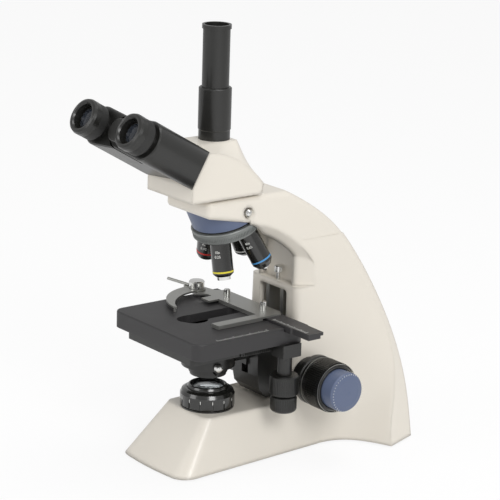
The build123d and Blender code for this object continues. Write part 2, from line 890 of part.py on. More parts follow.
lower_plate_top = stage_top_height - stage_thickness - clear
lower_plate_bottom = lower_plate_top - lower_plate_thickness
condenser_module = 0.5
condenser_teeth = 12
condenser_pinion_radius = condenser_teeth * condenser_module / 2
condenser_rack_line = condenser_knob_y - condenser_pinion_radius
condenser_travel = 8.0
tongue_half_width = 4.8
with BuildPart() as stage_bracket:
    with BuildSketch(Plane.YZ.offset(-bracket_half_width)):
        with BuildLine():
            Polyline(
                (bracket_front, lower_plate_bottom),
                (bracket_front, 78),
                (bracket_front + 3, 64),
                (bracket_front + 12, bracket_bottom),
                (column_front + 1.2, bracket_bottom + 2),
                (column_front + 1.2, lower_plate_bottom),
                close=True,
            )
        make_face()
    extrude(amount=2 * bracket_half_width)
    with BuildSketch(Plane.XY.offset(bracket_bottom + 2)):
        with Locations((0, column_front)):
            Rectangle(
                2 * slider_half_width, slider_back - column_front, align=(Align.CENTER, Align.MIN)
            )
    extrude(amount=lower_plate_bottom - bracket_bottom - 2)
    # groove of the condenser slide and room for its pinion
    with BuildSketch(Plane.XY.offset(lower_plate_bottom)):
        with Locations((0, bracket_front)):
            Rectangle(
                2 * tongue_half_width + 0.4,
                condenser_rack_line - bracket_front + 0.8,
                align=(Align.CENTER, Align.MIN),
            )
    extrude(amount=-40, mode=Mode.SUBTRACT)
    with BuildSketch(Plane.XY.offset(condenser_knob_height - 4.2)):
        with Locations((0, condenser_knob_y - 4)):
            Rectangle(2 * tongue_half_width + 0.4, 8.2, align=(Align.CENTER, Align.MIN))
    extrude(amount=8.4, mode=Mode.SUBTRACT)
    with BuildSketch(Plane.YZ.offset(-bracket_half_width)):
        with Locations((condenser_knob_y, condenser_knob_height)):
            Circle(2.0 + running)
    extrude(amount=bracket_half_width + 10, mode=Mode.SUBTRACT)
stage_bracket.part.label = "stage_bracket"
export_step(stage_bracket.part, "parts/stage_bracket.step")

# Stage
y_pinion_radius = y_pinion_teeth * y_module / 2
y_rack_line = drive_x - y_pinion_radius
y_rack_edge = y_rack_line - y_module
y_rack_low = drive_y - y_travel_front - 4
y_rack_high = drive_y + y_travel_back + 5
y_rack_centre = (y_rack_low + y_rack_high) / 2
y_pitch = pi * y_module
y_rack_phase = (drive_y - y_rack_centre) % y_pitch - y_pitch / 2
condenser_hole_radius = 21.0
with BuildPart() as stage_lower_plate:
    with BuildSketch(Plane.XY.offset(lower_plate_bottom)) as lower_outline:
        with BuildLine():
            Polyline(
                (-lower_plate_half_width, lower_plate_front),
                (y_rack_edge - 1.4, lower_plate_front),
                (y_rack_edge - 1.4, lower_plate_back),
                (-lower_plate_half_width, lower_plate_back),
                close=True,
            )
        make_face()
        fillet(lower_outline.vertices(), 4)
        Circle(condenser_hole_radius, mode=Mode.SUBTRACT)
    extrude(amount=lower_plate_thickness)
    with BuildSketch(
        Plane(
            origin=(y_rack_line, y_rack_centre, lower_plate_bottom),
            x_dir=(0, -1, 0),
            z_dir=(0, 0, 1),
        )
    ):
        add(rack_outline(y_rack_high - y_rack_low, y_module, 2, -y_rack_phase))
    extrude(amount=lower_plate_thickness - 1)
stage_lower_plate.part.label = "stage_lower_plate"
export_step(stage_lower_plate.part, "parts/stage_lower_plate.step")

stage_underside = stage_top_height - stage_thickness
rebate_floor = stage_top_height - rebate_depth
with BuildPart() as stage_top_plate:
    with BuildSketch(Plane.XY.offset(stage_underside)) as stage_outline:
        with BuildLine():
            Polyline(
                (-stage_half_width, stage_front),
                (stage_half_width, stage_front),
                (stage_half_width, stage_back),
                (-stage_half_width, stage_back),
                close=True,
            )
        make_face()
        fillet(stage_outline.vertices(), stage_corner)
    extrude(amount=stage_thickness)
    fillet(stage_top_plate.edges().group_by(Axis.Z)[-1], 1.6)
    # hollow underneath
    with BuildSketch(Plane.XY.offset(stage_underside)):
        with Locations((0, -2)):
            RectangleRounded(88, 108, 6)
    extrude(amount=stage_pocket_depth, mode=Mode.SUBTRACT)
    # opening for the light: a long slot with a wider front
    with BuildSketch(Plane.XY.offset(stage_underside)):
        with Locations((-4, 3)):
            SlotOverall(74, 20, rotation=90)
        with Locations((-1, -18)):
            Circle(14)
    extrude(amount=stage_thickness, mode=Mode.SUBTRACT)
    # rebate for the slide rail, its guide strip and the drive shaft hole
    with BuildSketch(Plane.XY.offset(rebate_floor)):
        with Locations((0, rebate_front)):
            Rectangle(2 * stage_half_width + 2, 40, align=(Align.CENTER, Align.MIN))
    extrude(amount=rebate_depth + 1, mode=Mode.SUBTRACT)
    with BuildSketch(Plane.XY.offset(rebate_floor)):
        with Locations((0, 55.5)):
            Rectangle(116, 3)
    extrude(amount=2.6)
    with BuildSketch(Plane.XY.offset(stage_underside)):
        with Locations((drive_x, drive_y)):
            Circle(1.6 + running)
    extrude(amount=stage_thickness, mode=Mode.SUBTRACT)
stage_top_plate.part.label = "stage_top_plate"
export_step(stage_top_plate.part, "parts/stage_top_plate.step")

housing_side = y_rack_line + 1.2
with BuildPart() as drive_housing:
    with BuildSketch(Plane.XY.offset(stage_underside)):
        with BuildLine():
            Polyline(
                (housing_side, drive_y - 11),
                (drive_x + 11, drive_y - 11),
                (drive_x + 11, drive_y + 11),
                (housing_side, drive_y + 11),
                close=True,
            )
        make_face()
    extrude(amount=-13.3)
    with BuildSketch(Plane.XY.offset(stage_underside - 13.3)):
        with Locations((drive_x, drive_y)):
            Circle(7)
    extrude(amount=-(stage_underside - 13.3 - y_knob_top - clear))
    with BuildSketch(Plane.XY.offset(stage_underside - 0.6)):
        with Locations((drive_x, drive_y)):
            Circle(y_pinion_radius + 1.5)
    extrude(amount=-7.8, mode=Mode.SUBTRACT)
    with BuildSketch(Plane.XY.offset(stage_underside)):
        with Locations((drive_x, drive_y)):
            Circle(3.4 + running)
    extrude(amount=-40, mode=Mode.SUBTRACT)
drive_housing.part.label = "drive_housing"
export_step(drive_housing.part, "parts/drive_housing.step")

drive_line = Axis((drive_x, drive_y, 0), (0, 0, 1))
drive_plane = Plane(origin=(drive_x, drive_y, 0), x_dir=(1, 0, 0), z_dir=(0, -1, 0))
with BuildPart() as y_knob:
    revolve(
        half_section(
            drive_plane,
            (1.6 + running, y_knob_bottom),
            (y_knob_radius - 0.8, y_knob_bottom),
            (y_knob_radius, y_knob_bottom + 0.8),
            (y_knob_radius, y_knob_top - 1.2),
            (y_knob_radius - 1.2, y_knob_top),
            (3.4, y_knob_top),
            (3.4, stage_underside - 0.8),
            (1.6 + running, stage_underside - 0.8),
        ),
        axis=drive_line,
    )
    with BuildSketch(Plane.XY.offset(lower_plate_bottom + 1.6)):
        with Locations((drive_x, drive_y)):
            add(teeth(y_pinion_teeth, y_module, y_pinion_radius - 1))
            Circle(1.6 + running, mode=Mode.SUBTRACT)
    extrude(amount=6)
y_knob.part.label = "y_knob"
export_step(y_knob.part, "parts/y_knob.step")

x_pinion_radius = x_pinion_teeth * x_module / 2
rail_bottom = rebate_floor + clear
rail_top = rail_bottom + rail_height
with BuildPart() as x_knob:
    revolve(
        half_section(
            drive_plane,
            (0, x_knob_bottom),
            (x_knob_radius - 1.5, x_knob_bottom),
            (x_knob_radius, x_knob_bottom + 1.5),
            (x_knob_radius, x_knob_top - 0.8),
            (x_knob_radius - 0.8, x_knob_top),
            (1.6, x_knob_top),
            (1.6, rail_bottom + 4.4),
            (0, rail_bottom + 4.4),
        ),
        axis=drive_line,
    )
    with BuildSketch(Plane.XY.offset(rail_bottom + 0.5)):
        with Locations((drive_x, drive_y)):
            add(teeth(x_pinion_teeth, x_module, x_pinion_radius - 0.62))
    extrude(amount=3.9)
x_knob.part.label = "x_knob"
export_step(x_knob.part, "parts/x_knob.step")

x_rack_line = drive_y + x_pinion_radius
x_rack_low = drive_x - x_travel - 5
x_rack_high = drive_x + x_travel + 4
x_rack_centre = (x_rack_low + x_rack_high) / 2
x_pitch = pi * x_module
x_rack_phase = (drive_x - x_rack_centre) % x_pitch - x_pitch / 2
holder_screw_places = ((21, 50), (-31, 45))
finger_pivot = (-68, 35)
with BuildPart() as slide_rail:
    with BuildSketch(Plane.XY.offset(rail_bottom)):
        with BuildLine():
            Polyline(
                (rail_left, 38),
                (79, 38),
                (80.5, 39),
                (rail_right, 39),
                (rail_right, 57),
                (80.5, 58),
                (79, rail_back),
                (rail_left, rail_back),
                close=True,
            )
        make_face()
    extrude(amount=rail_height)
    with BuildSketch(Plane.XY.offset(rail_bottom)):
        with Locations((x_rack_centre, drive_y - x_pinion_radius - 0.9)):
            Rectangle(
                x_rack_high - x_rack_low,
                2 * x_pinion_radius + 0.9 + x_module,
                align=(Align.CENTER, Align.MIN),
            )
    extrude(amount=4.8, mode=Mode.SUBTRACT)
    with BuildSketch(Plane.XY.offset(rail_bottom)):
        with Locations((0, 55.5)):
            Rectangle(400, 3.6)
    extrude(amount=2.9, mode=Mode.SUBTRACT)
    with BuildSketch(
        Plane(origin=(x_rack_centre, x_rack_line, rail_bottom), x_dir=(-1, 0, 0), z_dir=(0, 0, 1))
    ):
        add(rack_outline(x_rack_high - x_rack_low - 1, x_module, 0.4, -x_rack_phase))
    extrude(amount=4.8)
    with BuildSketch(Plane.XY.offset(rail_top)):
        with Locations(*holder_screw_places):
            Circle(1.5 + snug)
    extrude(amount=-5, mode=Mode.SUBTRACT)
slide_rail.part.label = "slide_rail"
export_step(slide_rail.part, "parts/slide_rail.step")

with BuildPart() as slide_holder:
    with BuildSketch(Plane.XY.offset(rail_top)) as holder_outline:
        with BuildLine():
            Polyline(
                (-80, 27),
                (-58, 27),
                (-50, 35),
                (-43, 35),
                (-43, 22),
                (-30, 22),
                (-30, 34),
                (30, 34),
                (30, -20),
                (41, -20),
                (41, 56),
                (36, 60),
                (-50, 60),
                (-58, 50),
                (-80, 46),
                close=True,
            )
        make_face()
        with Locations(*holder_screw_places):
            Circle(1.5 + snug, mode=Mode.SUBTRACT)
        with Locations(finger_pivot):
            Circle(2.5 + snug, mode=Mode.SUBTRACT)
    extrude(amount=holder_thickness)
    with BuildSketch(Plane.XY.offset(rail_top)):
        with Locations((30, -20)):
            Rectangle(11, 54, align=(Align.MIN, Align.MIN))
        with Locations((-30, 34)):
            Rectangle(61, 2.8, align=(Align.MIN, Align.MIN))
    extrude(amount=-(rail_top - stage_top_height - clear))
slide_holder.part.label = "slide_holder"
export_step(slide_holder.part, "parts/slide_holder.step")

holder_top = rail_top + holder_thickness
finger_bottom = holder_top + 0.3
finger_top = finger_bottom + 1.8
with BuildPart() as holder_screws:
    for place in holder_screw_places:
        revolve(
            half_section(
                Plane(origin=(place[0], place[1], 0), x_dir=(1, 0, 0), z_dir=(0, -1, 0)),
                (0, rail_top - 4),
                (1.5, rail_top - 4),
                (1.5, holder_top),
                (3.2, holder_top),
                (3.2, holder_top + 8),
                (2.6, holder_top + 8.6),
                (0, holder_top + 8.6),
            ),
            axis=Axis((place[0], place[1], 0), (0, 0, 1)),
        )
    revolve(
        half_section(
            Plane(origin=(finger_pivot[0], finger_pivot[1], 0), x_dir=(1, 0, 0), z_dir=(0, -1, 0)),
            (0, rail_top - 1),
            (2.5, rail_top - 1),
            (2.5, finger_top + 0.3),
            (8, finger_top + 0.3),
            (8, finger_top + 6.6),
            (7, finger_top + 7.8),
            (0, finger_top + 8.4),
        ),
        axis=Axis((finger_pivot[0], finger_pivot[1], 0), (0, 0, 1)),
    )
holder_screws.part.label = "holder_screws"
export_step(holder_screws.part, "parts/holder_screws.step")

finger_tip = (-26.5, -21.6)
tail_start = Vector(finger_pivot[0] - 9.4, finger_pivot[1] - 2.4, finger_top + 1.0)
tail_end = Vector(-104.4, 25.7, finger_top + 2.2)
with BuildPart() as slide_finger:
    with BuildSketch(Plane.XY.offset(finger_bottom)):
        with BuildLine():
            ThreePointArc((-77, 33), (-64, -4), (-29, -22.5))
            Line((-29, -22.5), (-25.5, -20.5))
            ThreePointArc((-25.5, -20.5), (-50, -2), (-60.5, 31))
            Line((-60.5, 31), (-77, 33))
        make_face()
        with Locations(finger_pivot):
            Circle(9)
        with BuildLine():
            Polyline((-68, 30), (-82, 29), (-82, 34), (-68, 40), close=True)
        make_face()
        with Locations(finger_pivot):
            Circle(2.5 + running, mode=Mode.SUBTRACT)
    extrude(amount=finger_top - finger_bottom)
    with BuildSketch(Plane(origin=tail_start, z_dir=(tail_end - tail_start))):
        Circle(1.5)
    extrude(amount=(tail_end - tail_start).length)
    with BuildSketch(Plane.XY.offset(finger_bottom)):
        with Locations((-29.5, -20)):
            Circle(1.5)
    extrude(amount=-(finger_bottom - stage_top_height - clear))
slide_finger.part.label = "slide_finger"
export_step(slide_finger.part, "parts/slide_finger.step")

# Condenser
carrier_bore = barrel_radius + running
tray_pin_x = -22.5
clamp_along = Vector(32, -10, 0).normalized()
clamp_height = 99.5
clamp_plane = axis_plane((0, 0, clamp_height), clamp_along, (0, 0, 1))
clamp_line = Axis((0, 0, clamp_height), clamp_along)
with BuildPart() as condenser_carrier:
    with BuildSketch(Plane.XY.offset(carrier_bottom)):
        Circle(carrier_radius)
        Circle(carrier_bore, mode=Mode.SUBTRACT)
    extrude(amount=carrier_top - carrier_bottom)
    with BuildSketch(Plane.XY.offset(carrier_bottom)):
        with Locations((0, carrier_radius - 4)):
            Rectangle(18, bracket_front - clear - carrier_radius + 4, align=(Align.CENTER, Align.MIN))
    extrude(amount=carrier_top - carrier_bottom)
    tongue_back = condenser_rack_line - condenser_module
    with BuildSketch(Plane.XY.offset(carrier_bottom - 8)):
        with Locations((0, bracket_front - clear - 2)):
            Rectangle(
                2 * tongue_half_width,
                tongue_back - 1 - bracket_front + clear + 2,
                align=(Align.CENTER, Align.MIN),
            )
    extrude(amount=28)
    condenser_pitch = pi * condenser_module
    tongue_centre = carrier_bottom + 6
    tongue_phase = (condenser_knob_height - tongue_centre) % condenser_pitch - condenser_pitch / 2
    with BuildSketch(
        Plane(
            origin=(-3.5, condenser_rack_line, tongue_centre), x_dir=(0, 0, 1), z_dir=(-1, 0, 0)
        )
    ):
        add(rack_outline(28, condenser_module, 1.2, tongue_phase))
    extrude(amount=-7)
    with BuildSketch(Plane.XY.offset(tray_bottom)):
        with Locations((tray_pin_x, 0)):
            Circle(1.5)
    extrude(amount=carrier_bottom - tray_bottom + 0.5)
    revolve(
        half_section(clamp_plane, (0, 10), (1.55, 10), (1.55, 30), (0, 30)),
        axis=clamp_line,
        mode=Mode.SUBTRACT,
    )
condenser_carrier.part.label = "condenser_carrier"
export_step(condenser_carrier.part, "parts/condenser_carrier.step")

with BuildPart() as condenser_barrel:
    revolve(
        half_section(
            Plane.XZ,
            (14, iris_bottom),
            (16.8, iris_bottom),
            (16.8, carrier_bottom - 0.6),
            (barrel_radius, carrier_bottom - 0.6),
            (barrel_radius, carrier_top + 1),
            (barrel_radius - 1.5, carrier_top + 5),
            (14.5, barrel_top - 4),
            (11.5, barrel_top),
            (10, barrel_top),
            (10, barrel_top - 4),
            (14, barrel_top - 10),
        ),
        axis=Axis.Z,
    )
condenser_barrel.part.label = "condenser_barrel"
export_step(condenser_barrel.part, "parts/condenser_barrel.step")

with BuildPart() as condenser_lens:
    with BuildSketch(Plane.XZ):
        with BuildLine():
            Line((0, barrel_top - 4), (10 - snug, barrel_top - 4))
            Line((10 - snug, barrel_top - 4), (10 - snug, barrel_top))
            ThreePointArc((10 - snug, barrel_top), (5.4, barrel_top + 1.2), (0.5, barrel_top + 1.6))
            Line((0.5, barrel_top + 1.6), (0, barrel_top + 1.6))
            Line((0, barrel_top + 1.6), (0, barrel_top - 4))
        make_face()
    revolve(axis=Axis.Z)
condenser_lens.part.label = "condenser_lens"
export_step(condenser_lens.part, "parts/condenser_lens.step")

iris_lever_along = Vector(0.94, -0.34, 0).normalized()
iris_lever_height = 91.5
with BuildPart() as iris_ring:
    with BuildSketch(Plane.XY.offset(iris_bottom)):
        Circle(19.2)
        Circle(16.8 + running, mode=Mode.SUBTRACT)
    extrude(amount=carrier_bottom - 0.9 - iris_bottom)
    with BuildSketch(
        Plane(origin=iris_lever_along * 18.5 + Vector(0, 0, iris_lever_height), z_dir=iris_lever_along)
    ):
        Circle(1.1)
    extrude(amount=11.5)
iris_ring.part.label = "iris_ring"
export_step(iris_ring.part, "parts/iris_ring.step")

with BuildPart() as filter_tray:
    with BuildSketch(Plane.XY.offset(tray_bottom)):
        Circle(18)
        with Locations((tray_pin_x + 1, 0)):
            Circle(4)
        Circle(14.5, mode=Mode.SUBTRACT)
        with Locations((tray_pin_x, 0)):
            Circle(1.5 + running, mode=Mode.SUBTRACT)
    extrude(amount=iris_bottom - 0.3 - tray_bottom)
filter_tray.part.label = "filter_tray"
export_step(filter_tray.part, "parts/filter_tray.step")

with BuildPart() as condenser_clamp:
    revolve(
        half_section(
            clamp_plane,
            (0, barrel_radius + 0.2),
            (1.5, barrel_radius + 0.2),
            (1.5, carrier_radius + 0.4),
            (4.4, carrier_radius + 0.4),
            (4.4, carrier_radius + 3.2),
            (3.6, carrier_radius + 5.2),
            (2, carrier_radius + 6.4),
            (0, carrier_radius + 6.8),
        ),
        axis=clamp_line,
    )
condenser_clamp.part.label = "condenser_clamp"
export_step(condenser_clamp.part, "parts/condenser_clamp.step")

condenser_line = Axis((0, condenser_knob_y, condenser_knob_height), (1, 0, 0))
condenser_plane = axis_plane((0, condenser_knob_y, condenser_knob_height), (1, 0, 0), (0, 0, 1))
with BuildPart() as condenser_knob:
    revolve(
        half_section(
            condenser_plane,
            (0, -46),
            (9.5, -46),
            (10.5, -45),
            (10.5, -34),
            (9.5, -33),
            (2, -33),
            (2, 9),
            (0, 9),
        ),
        axis=condenser_line,
    )
    with BuildSketch(Plane.YZ.offset(-3.5)):
        with Locations((condenser_knob_y, condenser_knob_height)):
            add(teeth(condenser_teeth, condenser_module, condenser_pinion_radius - 0.62))
    extrude(amount=7)
condenser_knob.part.label = "condenser_knob"
export_step(condenser_knob.part, "parts/condenser_knob.step")

# Nosepiece
with BuildPart() as nosepiece_cap:
    revolve(
        half_section(
            turret_plane,
            (0, 24),
            (cap_bottom_radius + cap_flare * (cap_bottom - 24), 24),
            (cap_bottom_radius, cap_bottom),
            (0, cap_bottom),
        ),
        axis=turret_axis,
    )
    # cut to the slope of the arm's underside, and ending at the throat
    with BuildSketch(Plane.YZ.offset(-50)):
        with BuildLine():
            Polyline(
                (nose_front - 20, nose_bottom + 20 * (nose_bottom - throat_start_height) / 50),
                (nose_front, nose_bottom),
                (throat_start, throat_start_height),
                (throat_start, 200),
                (60, 200),
                (60, 300),
                (nose_front - 20, 300),
                close=True,
            )
        make_face()
    extrude(amount=100, mode=Mode.SUBTRACT)
    revolve(
        half_section(
            turret_plane, (0, 34.5), (axle_radius, 34.5), (axle_radius, 61), (0, 61)
        ),
        axis=turret_axis,
    )
    with BuildSketch(Plane.XY.offset(arm_top)):
        Circle(light_path_radius)
    extrude(amount=-60, mode=Mode.SUBTRACT)
nosepiece_cap.part.label = "nosepiece_cap"
export_step(nosepiece_cap.part, "parts/nosepiece_cap.step")

with BuildPart() as turret_ring:
    revolve(
        half_section(
            turret_plane,
            (ring_bottom_radius - 1.2, ring_top),
            (ring_top_radius - 0.6, ring_top),
            (ring_top_radius, ring_top + 0.8),
            (ring_bottom_radius, ring_bottom),
            (ring_bottom_radius - 0.5, ring_bottom),
            (ring_bottom_radius - 1.2, ring_bottom - 2.4),
        ),
        axis=turret_axis,
    )
turret_ring.part.label = "turret_ring"
export_step(turret_ring.part, "parts/turret_ring.step")

places = [turret_turn + 90 * step for step in range(4)]
with BuildPart() as turret_plate:
    revolve(
        half_section(
            turret_plane,
            (axle_radius + running, cap_bottom + 0.5),
            (ring_bottom_radius - 1.2 - snug, cap_bottom + 0.5),
            (ring_bottom_radius - 1.2 - snug, ring_bottom - 4),
            (14, ring_bottom + 0.6),
            (axle_radius + running, ring_bottom + 0.6),
        ),
        axis=turret_axis,
    )
    for place in places:
        direction = objective_direction(place)
        seat = Vector(*apex) + Vector(*direction) * objective_seat
        with BuildSketch(Plane(origin=seat, z_dir=Vector(*direction))):
            Circle(10.4)
        extrude(amount=-9)
        with BuildSketch(Plane(origin=seat, z_dir=Vector(*direction))):
            Circle(8 + snug)
        extrude(amount=-18, mode=Mode.SUBTRACT)
turret_plate.part.label = "turret_plate"
export_step(turret_plate.part, "parts/turret_plate.step")


def objective_body(place, *front):
    """Objective turned about its own direction, ending in the given (radius, distance) corners."""
    direction = Vector(*objective_direction(place))
    across = direction.cross(Vector(0, 1, 0)).normalized()
    with BuildPart() as body:
        revolve(
            half_section(
                axis_plane(apex, direction, across),
                (5, objective_seat - 5),
                (8, objective_seat - 5),
                (8, objective_seat),
                (objective_radius + 0.15, objective_seat),
                (objective_radius + 0.15, objective_seat + 3),
                (objective_radius, objective_seat + 3.4),
                *front,
            ),
            axis=Axis(apex, direction),
        )
    return body.part


objective_10x = objective_body(
    places[0],
    (objective_radius, 100), (7.6, 102.6), (6.6, 102.8), (6.2, 106), (3.2, 106), (5, 96),
)
objective_10x.label = "objective_10x"
export_step(objective_10x, "parts/objective_10x.step")

long_front = (
    (objective_radius, 103.5), (7.2, 108), (5.6, 108.8), (4.5 + running, 108.8),
    (4.5 + running, 94), (5, 94),
)
objective_40x = objective_body(places[1], *long_front)
objective_40x.label = "objective_40x"
export_step(objective_40x, "parts/objective_40x.step")

objective_100x = objective_body(places[2], *long_front)
objective_100x.label = "objective_100x"
export_step(objective_100x, "parts/objective_100x.step")

objective_4x = objective_body(
    places[3],
    (objective_radius, 91.5), (8.6, 95), (7.4, 96), (5.6, 96), (5, 90),
)
objective_4x.label = "objective_4x"
export_step(objective_4x, "parts/objective_4x.step")

tips = []
for place in (places[1], places[2]):
    direction = Vector(*objective_direction(place))
    across = direction.cross(Vector(0, 1, 0)).normalized()
    with BuildPart() as sprung_tip:
        revolve(
            half_section(
                axis_plane(apex, direction, across),
                (0, 97), (4.5, 97), (4.5, 110), (2.4, 112.5), (0, 112.5),
            ),
            axis=Axis(apex, direction),
        )
    tips.append(sprung_tip.part)
tips[0].label = "tip_40x"
export_step(tips[0], "parts/tip_40x.step")
tips[1].label = "tip_100x"
export_step(tips[1], "parts/tip_100x.step")

# Screws on the stand
stop_screw_y = column_front + 5.5
with BuildPart() as stop_screw:
    revolve(
        half_section(
            Plane(origin=(0, stop_screw_y, 0), x_dir=(1, 0, 0), z_dir=(0, -1, 0)),
            (0, 163), (2.05, 163), (2.05, 175), (3.3, 175), (3.75, 175.6), (3.75, 181.4),
            (3.3, 182), (0, 182),
        ),
        axis=Axis((0, stop_screw_y, 0), (0, 0, 1)),
    )
stop_screw.part.label = "stop_screw"
export_step(stop_screw.part, "parts/stop_screw.step")

with BuildPart() as head_clamp_screw:
    revolve(
        half_section(
            axis_plane(screw_point, screw_along, Vector(0, 0.747, 0.664)),
            (0, -15.5), (2.55, -15.5), (2.55, 0), (4, 0), (4, 2.4), (3, 4.2), (0, 4.8),
        ),
        axis=Axis(screw_point, screw_along),
    )
head_clamp_screw.part.label = "head_clamp_screw"
export_step(head_clamp_screw.part, "parts/head_clamp_screw.step")

# Head
crease_front = face_bottom_point + Vector(*eye_up) * face_height
with BuildPart() as head_housing:
    with BuildSketch(Plane.YZ.offset(-head_top_half_width)) as core_face:
        with BuildLine():
            Polyline(
                (head_back - 1, head_bottom),
                (head_front, head_bottom),
                (head_front, head_bottom + head_front_height),
                (crease_front.Y + 2.3, head_top),
                (head_top_back, head_top),
            )
            ThreePointArc((head_top_back, head_top), (26, 300), (head_back + 1, 280))
            Line((head_back + 1, 280), (head_back - 1, head_bottom))
        make_face()
    extrude(amount=2 * head_top_half_width)
    for side in (-1, 1):
        with BuildSketch(Plane.YZ.offset(side * head_top_half_width)):
            with BuildLine():
                Polyline(
                    (head_back - 1, head_bottom),
                    (head_front, head_bottom),
                    (head_front, head_bottom + head_front_height),
                    (crease_front.Y + 2.3, head_top),
                    (head_top_back, head_top),
                )
                ThreePointArc((head_top_back, head_top), (26, 300), (head_back + 1, 280))
                Line((head_back + 1, 280), (head_back - 1, head_bottom))
            make_face()
        with BuildSketch(Plane.YZ.offset(side * head_half_width)):
            with BuildLine():
                Polyline(
                    (head_back - 1, head_bottom),
                    (head_front, head_bottom),
                    (head_front, head_bottom + head_front_height),
                    (crease_front.Y, crease_front.Z),
                )
                ThreePointArc((crease_front.Y, crease_front.Z), (-11.5, 312.6), (7, 303.3))
                ThreePointArc((7, 303.3), (22.5, 292), (head_back + 1, 280))
                Line((head_back + 1, 280), (head_back - 1, head_bottom))
            make_face()
        loft(ruled=True)
    # room for the beam splitter, and the light path
    with BuildSketch(Plane.XY.offset(276)):
        with Locations((-8.5, 0)):
            Rectangle(43, 26)
    extrude(amount=27, mode=Mode.SUBTRACT)
    with BuildSketch(Plane.XY.offset(head_bottom)):
        Circle(light_path_radius)
    extrude(amount=60, mode=Mode.SUBTRACT)
    with BuildSketch(Plane.YZ.offset(-head_half_width - 1)):
        with Locations((0, 286)):
            Circle(2.5 + running)
    extrude(amount=10, mode=Mode.SUBTRACT)
    with BuildSketch(face_plane):
        Circle(6 + snug)
    extrude(amount=-8, mode=Mode.SUBTRACT)
head_housing.part.label = "head_housing"
export_step(head_housing.part, "parts/head_housing.step")

with BuildPart() as head_dovetail:
    revolve(
        half_section(
            Plane.XZ,
            (light_path_radius, arm_top - dovetail_depth + 0.4),
            (dovetail_radius, arm_top - dovetail_depth + 0.4),
            (dovetail_radius - 2, arm_top - 2),
            (dovetail_radius - 2, head_bottom),
            (light_path_radius, head_bottom),
        ),
        axis=Axis.Z,
    )
head_dovetail.part.label = "head_dovetail"
export_step(head_dovetail.part, "parts/head_dovetail.step")

with BuildPart() as photo_tube:
    revolve(
        half_section(
            Plane.XZ,
            (light_path_radius + 1.5, head_top),
            (tube_foot_radius, head_top),
            (tube_foot_radius, tube_foot_top),
            (tube_lower_radius, tube_foot_top + 0.8),
            (tube_lower_radius, tube_lower_top - 0.8),
            (tube_lower_radius - 0.8, tube_lower_top),
            (tube_upper_radius, tube_lower_top),
            (tube_upper_radius, tube_top - tube_rim_height),
            (tube_rim_radius, tube_top - tube_rim_height),
            (tube_rim_radius, tube_top),
            (port_radius, tube_top),
            (port_radius, tube_top - port_depth),
            (light_path_radius + 1.5, tube_top - port_depth),
        ),
        axis=Axis.Z,
    )
photo_tube.part.label = "photo_tube"
export_step(photo_tube.part, "parts/photo_tube.step")

rod_pull = 12.0
with BuildPart() as beam_rod:
    with BuildSketch(Plane.XY.offset(276.3)):
        Rectangle(22, 22)
        with Locations((-12, 0)):
            Rectangle(3, 22)
    extrude(amount=2.7)
    with BuildSketch(Plane.XY.offset(279)):
        with Locations((-12.3, 0)):
            Rectangle(2.4, 22)
    extrude(amount=14)
    with BuildSketch(Plane.YZ.offset(-12.5)):
        with Locations((0, 286)):
            Circle(2.5)
    extrude(amount=-(head_half_width + 2.6 - 12.5))
    with BuildSketch(Plane.YZ.offset(-head_half_width - 2.4)):
        with Locations((0, 286)):
            Circle(5.2)
    extrude(amount=-12)
    fillet(beam_rod.edges().group_by(Axis.X)[0], 1.2)
beam_rod.part.label = "beam_rod"
export_step(beam_rod.part, "parts/beam_rod.step")

with BuildPart() as splitter_prism:
    with BuildSketch(Plane.XZ.offset(-10)):
        with BuildLine():
            Polyline((-11, 279), (10.6, 279), (10.6, 300), (8, 302), (-11, 302), close=True)
        make_face()
    extrude(amount=20)
splitter_prism.part.label = "splitter_prism"
export_step(splitter_prism.part, "parts/splitter_prism.step")

# Wings with the eyepieces
level_gap = 0.4
wing_middle = wing_length / 2
with BuildPart() as wing_pivot:
    with BuildSketch(face_plane):
        Circle(6)
    extrude(amount=-7.5)
    with BuildSketch(face_plane):
        Circle(6)
    extrude(amount=wing_length + level_gap)
    with BuildSketch(face_plane.offset(wing_length + level_gap)):
        Circle(11.5)
    extrude(amount=7)
    fillet(wing_pivot.edges().sort_by(Axis(face_centre, eye_along))[-1], 1)
wing_pivot.part.label = "wing_pivot"
export_step(wing_pivot.part, "parts/wing_pivot.step")


def wing(side, hub_low, hub_high):
    """Prism housing of one eyepiece; its hub takes only one of the two levels on the pivot."""
    eye = (side * eye_offset, 0)
    with BuildPart() as body:
        with BuildSketch(face_plane.offset(level_gap)):
            Circle(wing_hub_radius)
            with Locations(eye):
                Circle(wing_radius)
            make_hull()
        extrude(amount=wing_length - level_gap)
        outer = body.faces().sort_by(Axis(face_centre, eye_along))[-1].edges()
        chamfer(outer, 1.2)
        if hub_low > level_gap:
            with BuildSketch(face_plane.offset(level_gap)):
                Circle(wing_hub_radius + 0.6)
            extrude(amount=hub_low - level_gap, mode=Mode.SUBTRACT)
        if hub_high < wing_length:
            with BuildSketch(face_plane.offset(hub_high)):
                Circle(wing_hub_radius + 0.6)
            extrude(amount=wing_length - hub_high, mode=Mode.SUBTRACT)
        # facet from the side of the head out to the round end
        facet_plane = Plane(origin=face_centre, x_dir=(side, 0, 0), z_dir=Vector(*eye_up) * -side)
        with BuildSketch(facet_plane.offset(-wing_radius - 1)):
            with BuildLine():
                Polyline(
                    (head_half_width, -1),
                    (head_half_width, level_gap),
                    (eye_offset + wing_radius + 1, 18),
                    (eye_offset + wing_radius + 1, -1),
                    close=True,
                )
            make_face()
        extrude(amount=2 * wing_radius + 2, mode=Mode.SUBTRACT)
        with BuildSketch(face_plane):
            Circle(6 + running)
        extrude(amount=wing_length + 1, mode=Mode.SUBTRACT)
        with BuildSketch(face_plane.offset(wing_length)):
            with Locations(eye):
                Circle(eye_bore_radius + snug)
        extrude(amount=-20, mode=Mode.SUBTRACT)
    return body.part


